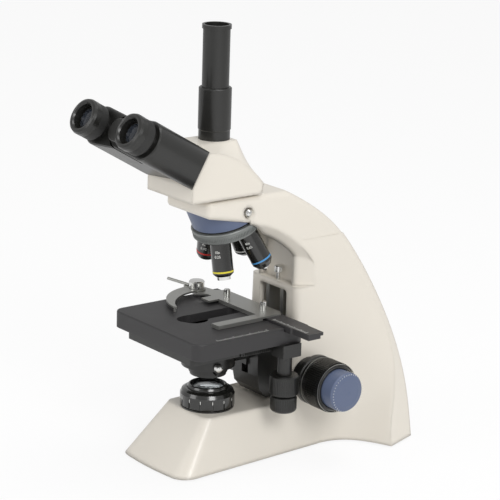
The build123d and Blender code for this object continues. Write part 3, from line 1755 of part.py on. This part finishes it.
wing_right = wing(1, wing_middle + level_gap / 2, wing_length)
wing_right.label = "wing_right"
export_step(wing_right, "parts/wing_right.step")
wing_left = wing(-1, level_gap, wing_middle - level_gap / 2)
wing_left.label = "wing_left"
export_step(wing_left, "parts/wing_left.step")


def about_eye(side, *corners):
    """Piece turned about one eyepiece axis from (radius, distance from the sloping face)."""
    centre = face_centre + Vector(side * eye_offset, 0, 0)
    with BuildPart() as piece:
        revolve(
            half_section(axis_plane(centre, eye_along, (1, 0, 0)), *corners),
            axis=Axis(centre, eye_along),
        )
    return piece.part


eyepiece_corners = (
    (0, wing_length - 18),
    (eye_bore_radius, wing_length - 18),
    (eye_bore_radius, wing_length),
    (neck_radius, wing_length),
    (neck_radius, diopter_end + 0.3),
    (eyecup_radius, diopter_end + 0.3),
    (eyecup_radius, eyecup_end - 3.5),
    (eyecup_radius - 1, eyecup_end - 1),
    (eyecup_radius - 3, eyecup_end),
    (eyecup_radius - 4.5, eyecup_end - 0.4),
    (eyecup_radius - 5.6, eyecup_end - 2),
    (eyecup_radius - 6.2, eyecup_end - 9),
    (0, eyecup_end - 9.6),
)
diopter_corners = (
    (neck_radius + running, neck_end),
    (diopter_radius, neck_end),
    (diopter_radius + 0.8, neck_end + 1.2),
    (diopter_radius + 0.8, diopter_end),
    (neck_radius + running, diopter_end),
)
eyepiece_right = about_eye(1, *eyepiece_corners)
eyepiece_right.label = "eyepiece_right"
export_step(eyepiece_right, "parts/eyepiece_right.step")
eyepiece_left = about_eye(-1, *eyepiece_corners)
eyepiece_left.label = "eyepiece_left"
export_step(eyepiece_left, "parts/eyepiece_left.step")
diopter_right = about_eye(1, *diopter_corners)
diopter_right.label = "diopter_right"
export_step(diopter_right, "parts/diopter_right.step")
diopter_left = about_eye(-1, *diopter_corners)
diopter_left.label = "diopter_left"
export_step(diopter_left, "parts/diopter_left.step")
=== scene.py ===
import bpy
import bmesh
import math
from mathutils import Matrix, Vector


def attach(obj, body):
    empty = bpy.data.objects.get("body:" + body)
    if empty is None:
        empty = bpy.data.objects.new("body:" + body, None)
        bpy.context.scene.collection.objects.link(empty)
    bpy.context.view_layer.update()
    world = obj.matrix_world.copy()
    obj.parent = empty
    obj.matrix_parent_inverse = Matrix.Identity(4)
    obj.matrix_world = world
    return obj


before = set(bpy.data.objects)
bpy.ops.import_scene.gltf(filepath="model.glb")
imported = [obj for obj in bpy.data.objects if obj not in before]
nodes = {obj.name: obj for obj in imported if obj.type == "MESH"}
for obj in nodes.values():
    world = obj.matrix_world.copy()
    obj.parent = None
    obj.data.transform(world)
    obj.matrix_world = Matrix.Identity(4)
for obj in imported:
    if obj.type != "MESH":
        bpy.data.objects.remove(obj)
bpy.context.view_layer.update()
MM = 0.001

# Camera, at the photograph's place: low, to the right of the user and in front
CAMERA_LENS = 158.4
CAMERA_PLACE = Vector((1625.3, -1243.5, 784.8))
CAMERA_RIGHT = Vector((0.61520, 0.78776, 0.03008))
CAMERA_UP = Vector((-0.23053, 0.14329, 0.96240))
CAMERA_BACK = Vector((0.75388, -0.59904, 0.26976))

camera_data = bpy.data.cameras.new("bench_camera")
camera_data.lens = CAMERA_LENS
camera_data.sensor_width = 36.0
camera_data.clip_end = 50.0
camera = bpy.data.objects.new("bench_camera", camera_data)
bpy.context.scene.collection.objects.link(camera)
camera_turn = Matrix((CAMERA_RIGHT, CAMERA_UP, CAMERA_BACK)).transposed().to_4x4()
camera.matrix_world = Matrix.Translation(CAMERA_PLACE * MM) @ camera_turn
bpy.context.scene.camera = camera
bpy.context.scene.view_settings.view_transform = "Standard"

# What every finish shares
COAT_ROUGHNESS = 0.12
FINE_GRAIN = 40             # how much finer the relief is than the tone
RELIEF_DEPTH = 0.05 * MM
WEAR_REACH = 0.6 * MM       # how far rubbed paint reaches from an edge
WEAR_STARTS = 0.995         # cosine of the bend at which paint begins to rub
WEAR_FULL = 0.90


def srgb(red, green, blue):
    """Linear colour of a paint named by its 0 to 255 screen values."""
    out = []
    for value in (red, green, blue):
        share = value / 255
        out.append(share / 12.92 if share <= 0.04045 else ((share + 0.055) / 1.055) ** 2.4)
    return (out[0], out[1], out[2], 1.0)


def finish(name, colour, roughness, metallic=0.0, coat=0.0, grain=60.0, relief=0.02,
           spread=0.06, tone=0.04, wear=0.0, wear_colour=(0.6, 0.6, 0.6, 1.0), stretch=(1, 1, 1),
           rounding=0.0):
    """Surface finish with uneven gloss, a fine relief, slightly uneven tone and rubbed edges."""
    surface = bpy.data.materials.new(name)
    surface.use_nodes = True
    tree = surface.node_tree
    shader = tree.nodes["Principled BSDF"]
    shader.inputs["Metallic"].default_value = metallic
    shader.inputs["Coat Weight"].default_value = coat
    shader.inputs["Coat Roughness"].default_value = COAT_ROUGHNESS
    place = tree.nodes.new("ShaderNodeTexCoord")
    mapping = tree.nodes.new("ShaderNodeMapping")
    mapping.inputs["Scale"].default_value = stretch
    tree.links.new(place.outputs["Object"], mapping.inputs["Vector"])
    fine = tree.nodes.new("ShaderNodeTexNoise")
    fine.inputs["Scale"].default_value = grain * FINE_GRAIN
    fine.inputs["Detail"].default_value = 4
    tree.links.new(mapping.outputs["Vector"], fine.inputs["Vector"])
    broad = tree.nodes.new("ShaderNodeTexNoise")
    broad.inputs["Scale"].default_value = grain
    broad.inputs["Detail"].default_value = 3
    tree.links.new(mapping.outputs["Vector"], broad.inputs["Vector"])
    gloss = tree.nodes.new("ShaderNodeMapRange")
    gloss.inputs["To Min"].default_value = max(roughness - spread, 0.02)
    gloss.inputs["To Max"].default_value = min(roughness + spread, 1.0)
    tree.links.new(broad.outputs["Fac"], gloss.inputs["Value"])
    tree.links.new(gloss.outputs["Result"], shader.inputs["Roughness"])
    bump = tree.nodes.new("ShaderNodeBump")
    bump.inputs["Strength"].default_value = relief * 10
    bump.inputs["Distance"].default_value = RELIEF_DEPTH
    tree.links.new(fine.outputs["Fac"], bump.inputs["Height"])
    tree.links.new(bump.outputs["Normal"], shader.inputs["Normal"])
    if rounding:
        soft = tree.nodes.new("ShaderNodeBevel")
        soft.inputs["Radius"].default_value = rounding * MM
        tree.links.new(soft.outputs["Normal"], bump.inputs["Normal"])
    shade = tree.nodes.new("ShaderNodeMix")
    shade.data_type = "RGBA"
    shade.inputs["A"].default_value = [c * (1 - tone) for c in colour[:3]] + [1.0]
    shade.inputs["B"].default_value = [min(c * (1 + tone), 1.0) for c in colour[:3]] + [1.0]
    tree.links.new(broad.outputs["Fac"], shade.inputs["Factor"])
    last = shade.outputs["Result"]
    if wear:
        edge = tree.nodes.new("ShaderNodeBevel")
        edge.inputs["Radius"].default_value = WEAR_REACH
        geometry = tree.nodes.new("ShaderNodeNewGeometry")
        bend = tree.nodes.new("ShaderNodeVectorMath")
        bend.operation = "DOT_PRODUCT"
        tree.links.new(edge.outputs["Normal"], bend.inputs[0])
        tree.links.new(geometry.outputs["Normal"], bend.inputs[1])
        worn = tree.nodes.new("ShaderNodeMapRange")
        worn.inputs["From Min"].default_value = WEAR_STARTS
        worn.inputs["From Max"].default_value = WEAR_FULL
        worn.inputs["To Min"].default_value = 0.0
        worn.inputs["To Max"].default_value = wear
        tree.links.new(bend.outputs["Value"], worn.inputs["Value"])
        rubbed = tree.nodes.new("ShaderNodeMix")
        rubbed.data_type = "RGBA"
        tree.links.new(worn.outputs["Result"], rubbed.inputs["Factor"])
        tree.links.new(last, rubbed.inputs["A"])
        rubbed.inputs["B"].default_value = wear_colour
        last = rubbed.outputs["Result"]
    tree.links.new(last, shader.inputs["Base Color"])
    return surface


def clear_glass(name, tint, roughness=0.03):
    """Glass with faint smears."""
    surface = bpy.data.materials.new(name)
    surface.use_nodes = True
    tree = surface.node_tree
    shader = tree.nodes["Principled BSDF"]
    shader.inputs["Base Color"].default_value = tint
    shader.inputs["Transmission Weight"].default_value = 0.85
    shader.inputs["IOR"].default_value = 1.5
    place = tree.nodes.new("ShaderNodeTexCoord")
    smear = tree.nodes.new("ShaderNodeTexNoise")
    smear.inputs["Scale"].default_value = 180
    tree.links.new(place.outputs["Object"], smear.inputs["Vector"])
    gloss = tree.nodes.new("ShaderNodeMapRange")
    gloss.inputs["To Min"].default_value = roughness * 0.5
    gloss.inputs["To Max"].default_value = roughness * 2
    tree.links.new(smear.outputs["Fac"], gloss.inputs["Value"])
    tree.links.new(gloss.outputs["Result"], shader.inputs["Roughness"])
    return surface


# Finishes
body_paint = finish("body_paint", srgb(219, 213, 202), 0.38, coat=0.25, grain=18, relief=0.012,
                    tone=0.012, rounding=6.0)
slate_plastic = finish("slate_plastic", srgb(88, 99, 125), 0.42, grain=40, relief=0.02, tone=0.03)
ring_enamel = finish("ring_enamel", srgb(126, 129, 127), 0.4, metallic=0.3, grain=50, tone=0.03)
black_enamel = finish("black_enamel", srgb(27, 27, 25), 0.38, coat=0.2, grain=35, relief=0.03,
                      tone=0.05, wear=0.25, wear_colour=srgb(70, 70, 67))
stage_coat = finish("stage_coat", srgb(43, 42, 43), 0.5, grain=30, relief=0.05, tone=0.06, wear=0.3,
                    wear_colour=srgb(90, 90, 88))
moulded_black = finish("moulded_black", srgb(25, 25, 23), 0.34, coat=0.15, grain=45, relief=0.03,
                       tone=0.05, wear=0.15, wear_colour=srgb(62, 62, 60))
grip_rubber = finish("grip_rubber", srgb(30, 30, 29), 0.55, grain=60, relief=0.08, tone=0.06)
gloss_lacquer = finish("gloss_lacquer", srgb(26, 26, 24), 0.22, coat=0.6, grain=30, relief=0.01,
                       wear=0.25, wear_colour=srgb(70, 70, 66))
satin_steel = finish("satin_steel", srgb(158, 158, 154), 0.36, metallic=0.85, grain=30, relief=0.03,
                     tone=0.06, stretch=(1, 6, 6))
polished_chrome = finish("polished_chrome", srgb(218, 218, 216), 0.12, metallic=1.0, grain=40,
                         relief=0.005, spread=0.05, tone=0.02)
bush_bronze = finish("bush_bronze", srgb(168, 132, 78), 0.35, metallic=1.0, grain=60, relief=0.03)
board_green = finish("board_green", srgb(38, 84, 52), 0.5, grain=80)
foot_rubber = finish("foot_rubber", srgb(30, 30, 30), 0.8, grain=90, relief=0.1)
lens_glass = clear_glass("lens_glass", (0.90, 0.95, 0.97, 1.0))
eye_glass = clear_glass("eye_glass", (0.10, 0.12, 0.16, 1.0))

painted = {
    body_paint: ("stand_casting", "head_housing"),
    slate_plastic: ("nosepiece_cap", "fine_knobs"),
    ring_enamel: ("turret_ring",),
    black_enamel: ("photo_tube", "wing_right", "wing_left", "stage_bracket", "stage_lower_plate",
                   "condenser_carrier", "condenser_barrel", "turret_plate", "drive_housing",
                   "filter_tray", "wing_pivot"),
    stage_coat: ("stage_top_plate", "slide_rail"),
    moulded_black: ("coarse_knobs", "tension_ring", "eyepiece_right", "eyepiece_left", "x_knob",
                    "y_knob", "condenser_knob", "power_inlet", "power_switch", "brightness_knob",
                    "beam_rod", "iris_ring"),
    grip_rubber: ("diopter_right", "diopter_left"),
    gloss_lacquer: ("objective_4x", "objective_10x", "objective_40x", "objective_100x",
                    "field_ring", "lamp_collar"),
    satin_steel: ("slide_holder", "slide_finger", "guide_bars", "focus_rack",
                  "base_cover", "head_dovetail", "led_module"),
    polished_chrome: ("tip_40x", "tip_100x", "head_clamp_screw", "stop_screw", "condenser_clamp",
                      "holder_screws", "cover_screws", "coarse_shaft", "fine_shaft"),
    bush_bronze: ("shaft_bushes",),
    board_green: ("control_board",),
    foot_rubber: ("rubber_feet",),
    lens_glass: ("field_lens", "condenser_lens", "splitter_prism"),
}
for surface, names in painted.items():
    for name in names:
        node = nodes[name]
        if not node.data.materials:
            node.data.materials.append(surface)
        for slot in node.material_slots:
            slot.material = surface

# Plain colours of the small marks; the white also paints highlights on the field ring
white_print_and_highlight = finish("white_print_and_highlight", srgb(226, 226, 222), 0.5, grain=80, relief=0.01)
red_fill = finish("red_fill", srgb(196, 44, 40), 0.4, grain=80, relief=0.01)
yellow_fill = finish("yellow_fill", srgb(214, 200, 52), 0.4, grain=80, relief=0.01)
blue_fill = finish("blue_fill", srgb(70, 140, 196), 0.4, grain=80, relief=0.01)


def axis_frame(point, along, across):
    """Placement whose Z runs along a piece's own axis, from a point in millimetres."""
    z_way = Vector(along).normalized()
    x_way = (Vector(across) - z_way * z_way.dot(Vector(across))).normalized()
    turn = Matrix((x_way, z_way.cross(x_way), z_way)).transposed().to_4x4()
    return Matrix.Translation(Vector(point) * MM) @ turn


def finished(name, form, body, surface):
    """Closed form turned into a piece that rides on a body."""
    bmesh.ops.remove_doubles(form, verts=form.verts, dist=1e-6)
    bmesh.ops.recalc_face_normals(form, faces=form.faces)
    for edge in form.edges:
        edge.smooth = edge.calc_face_angle(0.0) < 0.6
    for face in form.faces:
        face.smooth = True
    mesh = bpy.data.meshes.new(name)
    form.to_mesh(mesh)
    form.free()
    mesh.materials.append(surface)
    piece = bpy.data.objects.new(name, mesh)
    bpy.context.scene.collection.objects.link(piece)
    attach(piece, body)
    return piece


def turned(name, corners, place, body, surface, steps=64):
    """Ring turned from (radius, height) corners about the Z of its placement."""
    form = bmesh.new()
    points = [form.verts.new((radius * MM, 0, height * MM)) for radius, height in corners]
    sides = [form.edges.new((a, b)) for a, b in zip(points, points[1:] + points[:1])]
    bmesh.ops.spin(form, geom=points + sides, cent=(0, 0, 0), axis=(0, 0, 1),
                   angle=math.tau, steps=steps, use_merge=True)
    bmesh.ops.transform(form, matrix=place, verts=form.verts)
    return finished(name, form, body, surface)


def band(name, radius, low, high, place, body, surface, proud=0.15):
    """Thin ring that stands proud of a cylinder and reaches a little way into it."""
    inside = radius - 0.4
    outside = radius + proud
    corners = ((inside, low), (outside, low), (outside, high), (inside, high))
    return turned(name, corners, place, body, surface)


def bars(name, sizes_and_places, place, body, surface):
    """Small blocks, each given by its size in millimetres and its own placement."""
    form = bmesh.new()
    for size, own in sizes_and_places:
        made = bmesh.ops.create_cube(form, size=1.0)["verts"]
        shape = Matrix.Diagonal(Vector(size) * MM).to_4x4()
        bmesh.ops.transform(form, matrix=place @ own @ shape, verts=made)
    return finished(name, form, body, surface)


def around(radius, height, angle):
    """Placement on a cylinder: X points outwards and Z stays along the axis."""
    return Matrix.Rotation(angle, 4, "Z") @ Matrix.Translation((radius * MM, 0, height * MM))


def ribs(name, radius, low, high, count, width, place, body, surface, proud=0.35):
    """Straight ribs or marks spaced evenly round a cylinder."""
    size = (2 * proud, width, high - low)
    rows = [(size, around(radius, (low + high) / 2, math.tau * step / count))
            for step in range(count)]
    return bars(name, rows, place, body, surface)


LETTER_THICKNESS = 0.06 * MM
LETTER_LIFT = 0.05 * MM
LINE_SPACING = 1.25


def wrapped_numbers(name, lines, radius, height, letter, angle, place, body, surface):
    """Plain numbers laid round a cylinder, one line under the other."""
    form = bmesh.new()
    for row, number in enumerate(lines):
        curve = bpy.data.curves.new(name, "FONT")
        curve.body = number
        curve.size = letter * MM
        curve.align_x = "CENTER"
        curve.extrude = LETTER_THICKNESS
        holder = bpy.data.objects.new(name, curve)
        bpy.context.scene.collection.objects.link(holder)
        bpy.context.view_layer.update()
        flat = bpy.data.meshes.new_from_object(holder)
        bpy.data.objects.remove(holder)
        first = len(form.verts)
        form.from_mesh(flat)
        form.verts.ensure_lookup_table()
        for vert in form.verts[first:]:
            turn = angle + vert.co.x / (radius * MM)
            level = (height - row * letter * LINE_SPACING) * MM + vert.co.y
            out = radius * MM + LETTER_LIFT + vert.co.z
            vert.co = Vector((out * math.cos(turn), out * math.sin(turn), level))
    bmesh.ops.transform(form, matrix=place, verts=form.verts)
    return finished(name, form, body, surface)


# Objectives: coloured rings, plain numbers and a knurled collar
APEX = Vector((0, 0, 289))          # where the objectives' axes meet
TILT = math.radians(16.75)          # of the nosepiece
CLICK = math.radians(31.5)          # the nosepiece stands between two clicks
OBJECTIVE_RADIUS = 10.25
COLLAR_RADIUS = 10.4
COLOUR_RING = 1.6                   # width
COLLAR_START = 68.4                 # distances from the apex
COLLAR_END = 71.0
NUMBERS_AT = 79.0
NUMBER_SIZE = 3.6
NUMBER_TURN = -0.35                 # from the way that faces the viewer
VIEWER = Vector((0.754, -0.599, 0.0))
UP = Vector((0, 0, 1))
RIGHT = Vector((1, 0, 0))

objectives = (
    # name, click place, ring distance, ring colour, aperture
    ("10x", 0, 98.0, yellow_fill, "0.25"),
    ("40x", 1, 100.0, blue_fill, "0.65"),
    ("100x", 2, 100.0, white_print_and_highlight, "1.25"),
    ("4x", 3, 88.5, red_fill, "0.10"),
)


def objective_way(step):
    """Pointing direction of the objective in a click place."""
    place = CLICK + math.radians(90 * step)
    return Vector((
        math.sin(TILT) * math.sin(place),
        math.sin(TILT) * math.cos(TILT) * (1 - math.cos(place)),
        -(math.cos(TILT) ** 2 + math.sin(TILT) ** 2 * math.cos(place)),
    ))


def mark_objective(power, step, ring_distance, ring_colour, aperture):
    """Ring, collar and numbers; heights run backwards, so that the numbers stand upright."""
    place = axis_frame(APEX, -objective_way(step), VIEWER)
    half = COLOUR_RING / 2
    band("ring_" + power, OBJECTIVE_RADIUS, -ring_distance - half, -ring_distance + half,
         place, "turret", ring_colour)
    ribs("knurl_" + power, COLLAR_RADIUS, -COLLAR_END, -COLLAR_START, count=60, width=0.5,
         place=place, body="turret", surface=gloss_lacquer, proud=0.2)
    wrapped_numbers("numbers_" + power, (power, aperture), OBJECTIVE_RADIUS, -NUMBERS_AT,
                    NUMBER_SIZE, NUMBER_TURN, place, "turret", white_print_and_highlight)


for objective in objectives:
    mark_objective(*objective)

# Bright sleeve over the nose of the 10x objective
nose_corners = (
    (6.75, -102.9), (6.35, -106.15), (3.3, -106.3), (3.3, -106.02), (6.0, -105.9), (6.4, -102.9),
)
turned("nose_10x", nose_corners, axis_frame(APEX, -objective_way(0), VIEWER), "turret",
       polished_chrome)

# Nosepiece ring: fine grip ribs
turret_way = Vector((0, math.sin(TILT), -math.cos(TILT)))
ribs("turret_grip", radius=32.6, low=55.0, high=61.8, count=120, width=0.7,
     place=axis_frame(APEX, turret_way, RIGHT), body="turret", surface=ring_enamel, proud=0.5)

# Eyepieces: lens, ribs and the marks of the sight ring, along each eyepiece
EYE_TILT = math.radians(30)
EYE_OFFSET = 36.9
EYE_START = (-41.675, 301.15)       # Y and Z of the head's sloping face
SIGHT_RING_RADIUS = 16.8
eye_way = Vector((0, -math.cos(EYE_TILT), math.sin(EYE_TILT)))
eye_lens_corners = ((0.02, 88.2), (9.6, 88.2), (9.6, 90.6), (6.0, 91.8), (0.02, 92.4))


def mark_eyepiece(side, tag):
    """Lens, grip and marks of one eyepiece; side is 1 on the right and -1 on the left."""
    place = axis_frame((side * EYE_OFFSET, *EYE_START), eye_way, UP)
    sight_ring = "diopter_" + tag
    turned("eye_lens_" + tag, eye_lens_corners, place, "wing_" + tag, eye_glass)
    ribs("sight_grip_" + tag, SIGHT_RING_RADIUS, low=80.4, high=84.6, count=44, width=0.9,
         place=place, body=sight_ring, surface=grip_rubber, proud=0.3)
    ribs("sight_marks_" + tag, SIGHT_RING_RADIUS, low=86.2, high=87.8, count=36, width=0.3,
         place=place, body=sight_ring, surface=white_print_and_highlight, proud=0.06)


# Focus knobs: scale round the fine knob, fine lines and grip on the coarse knob
FOCUS_AXIS = (0, 92, 77)
FINE_SCALE_RADIUS = 18.9
FINE_KNOB_END = 105.0
COARSE_RADIUS = 24.9
COARSE_EDGE_RADIUS = 24.6


def mark_focus_knobs(side, tag):
    """Scale, grip and lines of the coarse and fine knobs on one side."""
    place = axis_frame(FOCUS_AXIS, (side, 0, 0), UP)
    ribs("fine_scale_" + tag, FINE_SCALE_RADIUS, FINE_KNOB_END - 0.08, FINE_KNOB_END + 0.02,
         count=40, width=0.35, place=place, body="fine_drive", surface=white_print_and_highlight, proud=0.7)
    ribs("coarse_grip_" + tag, COARSE_RADIUS, low=66.0, high=85.0, count=72, width=1.0,
         place=place, body="coarse_drive", surface=moulded_black, proud=0.35)
    band("coarse_line_" + tag, COARSE_RADIUS, low=62.6, high=63.1,
         place=place, body="coarse_drive", surface=satin_steel, proud=0.14)
    band("coarse_edge_" + tag, COARSE_EDGE_RADIUS, low=87.2, high=87.6,
         place=place, body="coarse_drive", surface=satin_steel, proud=0.1)


for mark_pair in (mark_eyepiece, mark_focus_knobs):
    mark_pair(1, "right")
    mark_pair(-1, "left")


def upright_ribs(name, axis, radius, low, high, count, width, body, surface, proud):
    """Ribs round a piece that stands on a vertical axis, given by its X and Y."""
    place = axis_frame((*axis, 0), UP, RIGHT)
    ribs(name, radius, low, high, count, width, place, body, surface, proud)


# Stage drive knobs
DRIVE_AXIS = (64, 44.5)
upright_ribs("y_knob_grip", DRIVE_AXIS, radius=14.0, low=76.0, high=92.0, count=48, width=0.9,
             body="y_knob", surface=moulded_black, proud=0.3)
upright_ribs("x_knob_grip", DRIVE_AXIS, radius=12.75, low=59.5, high=70.5, count=44, width=0.9,
             body="x_knob", surface=moulded_black, proud=0.3)

# Grips of the thumb screws
thumb_screws = (
    # name, axis, radius, low, high, body
    ("stop", (0, 84.5), 3.75, 176.2, 180.8, "stop_screw"),
    ("jaw", (21, 50), 3.2, 149.6, 154.8, "slide_carriage"),
    ("rail", (-31, 45), 3.2, 149.6, 154.8, "slide_carriage"),
)
for tag, axis, radius, low, high, body in thumb_screws:
    upright_ribs(tag + "_grip", axis, radius, low, high, count=24, width=0.45,
                 body=body, surface=polished_chrome, proud=0.18)

# Field ring: painted highlights, thin white strips where light catches its grip flutes
upright_ribs("ring_painted_highlights", (0, 0), radius=27.0, low=61.0, high=64.0, count=14, width=0.5,
             body="field_ring", surface=white_print_and_highlight, proud=0.05)

# Scales of the stage and of its rail
SCALE_STEP = 2.0
STAGE_TICKS = 31
RAIL_TICKS = 26
TICK_WIDTH = 0.3
TICK_HEIGHT = 0.12
STAGE_SCALE_EDGE = 67.6             # X where the ticks of the stage end
STAGE_SCALE_START = -40.0
STAGE_SCALE_TOP = 143.33
RAIL_SCALE_EDGE = 40.6              # Y where the ticks of the rail start
RAIL_SCALE_START = 48.0
RAIL_SCALE_TOP = 145.73


def tick_length(step, tenth=4.2, fifth=3.2, single=2.2):
    """Every fifth and tenth line of a scale is longer."""
    if step % 10 == 0:
        return tenth
    return fifth if step % 5 == 0 else single


def at(*point):
    """Placement at a point in millimetres."""
    return Matrix.Translation(Vector(point) * MM)


stage_ticks = []
for step in range(STAGE_TICKS):
    length = tick_length(step)
    centre = at(STAGE_SCALE_EDGE - length / 2, STAGE_SCALE_START + SCALE_STEP * step,
                STAGE_SCALE_TOP)
    stage_ticks.append(((length, TICK_WIDTH, TICK_HEIGHT), centre))
bars("stage_scale", stage_ticks, Matrix(), "stage_top", white_print_and_highlight)

rail_ticks = []
for step in range(RAIL_TICKS):
    length = tick_length(step, tenth=3.6, fifth=3.6)
    centre = at(RAIL_SCALE_START + SCALE_STEP * step, RAIL_SCALE_EDGE + length / 2,
                RAIL_SCALE_TOP)
    rail_ticks.append(((TICK_WIDTH, length, TICK_HEIGHT), centre))
bars("rail_scale", rail_ticks, Matrix(), "slide_carriage", white_print_and_highlight)

# Soft light, floor and backdrop
ROOM_LIGHT = 0.62           # of the world on the object; the camera sees full white
FLOOR_GLOW = 0.86           # share of plain white in the floor that the camera sees
FLOOR_REACH = 12.0
SUBJECT = Vector((0, 0, 0.2))
scene = bpy.context.scene
world = bpy.data.worlds.new("room")
scene.world = world
world.use_nodes = True
tree = world.node_tree
ray = tree.nodes.new("ShaderNodeLightPath")
seen = tree.nodes.new("ShaderNodeMath")
seen.operation = "MAXIMUM"
tree.links.new(ray.outputs["Is Camera Ray"], seen.inputs[0])
tree.links.new(ray.outputs["Is Transmission Ray"], seen.inputs[1])
level = tree.nodes.new("ShaderNodeMapRange")
level.inputs["To Min"].default_value = ROOM_LIGHT
level.inputs["To Max"].default_value = 1.0
tree.links.new(seen.outputs["Value"], level.inputs["Value"])
sky = tree.nodes["Background"]
sky.inputs["Color"].default_value = (1.0, 1.0, 1.0, 1.0)
tree.links.new(level.outputs["Result"], sky.inputs["Strength"])


def lamp(name, place, size, power):
    """Round soft lamp that faces the object; place and size in metres."""
    data = bpy.data.lights.new(name, "AREA")
    data.shape = "DISK"
    data.size = size
    data.energy = power
    item = bpy.data.objects.new(name, data)
    item.location = place
    item.rotation_euler = (SUBJECT - Vector(place)).to_track_quat("-Z", "Y").to_euler()
    scene.collection.objects.link(item)


lamp("key_lamp", (2.2, -0.6, 1.7), 1.2, 34)
lamp("fill_lamp", (-0.6, -2.4, 1.5), 1.4, 14)
lamp("top_lamp", (0.2, 0.4, 2.4), 1.2, 12)

floor_mesh = bpy.data.meshes.new("floor")
floor_form = bmesh.new()
bmesh.ops.create_grid(floor_form, x_segments=1, y_segments=1, size=FLOOR_REACH)
floor_form.to_mesh(floor_mesh)
floor_form.free()
floor = bpy.data.objects.new("floor", floor_mesh)
scene.collection.objects.link(floor)
floor_surface = bpy.data.materials.new("floor_surface")
floor_surface.use_nodes = True
tree = floor_surface.node_tree
shader = tree.nodes["Principled BSDF"]
shader.inputs["Base Color"].default_value = (0.86, 0.86, 0.86, 1.0)
shader.inputs["Roughness"].default_value = 0.9
glow = tree.nodes.new("ShaderNodeEmission")
glow.inputs["Color"].default_value = (1.0, 1.0, 1.0, 1.0)
glow.inputs["Strength"].default_value = 1.0
ray = tree.nodes.new("ShaderNodeLightPath")
share = tree.nodes.new("ShaderNodeMath")
share.operation = "MULTIPLY"
share.inputs[1].default_value = FLOOR_GLOW
tree.links.new(ray.outputs["Is Camera Ray"], share.inputs[0])
mix = tree.nodes.new("ShaderNodeMixShader")
tree.links.new(share.outputs["Value"], mix.inputs[0])
tree.links.new(shader.outputs[0], mix.inputs[1])
tree.links.new(glow.outputs[0], mix.inputs[2])
tree.links.new(mix.outputs[0], tree.nodes["Material Output"].inputs["Surface"])
floor_mesh.materials.append(floor_surface)
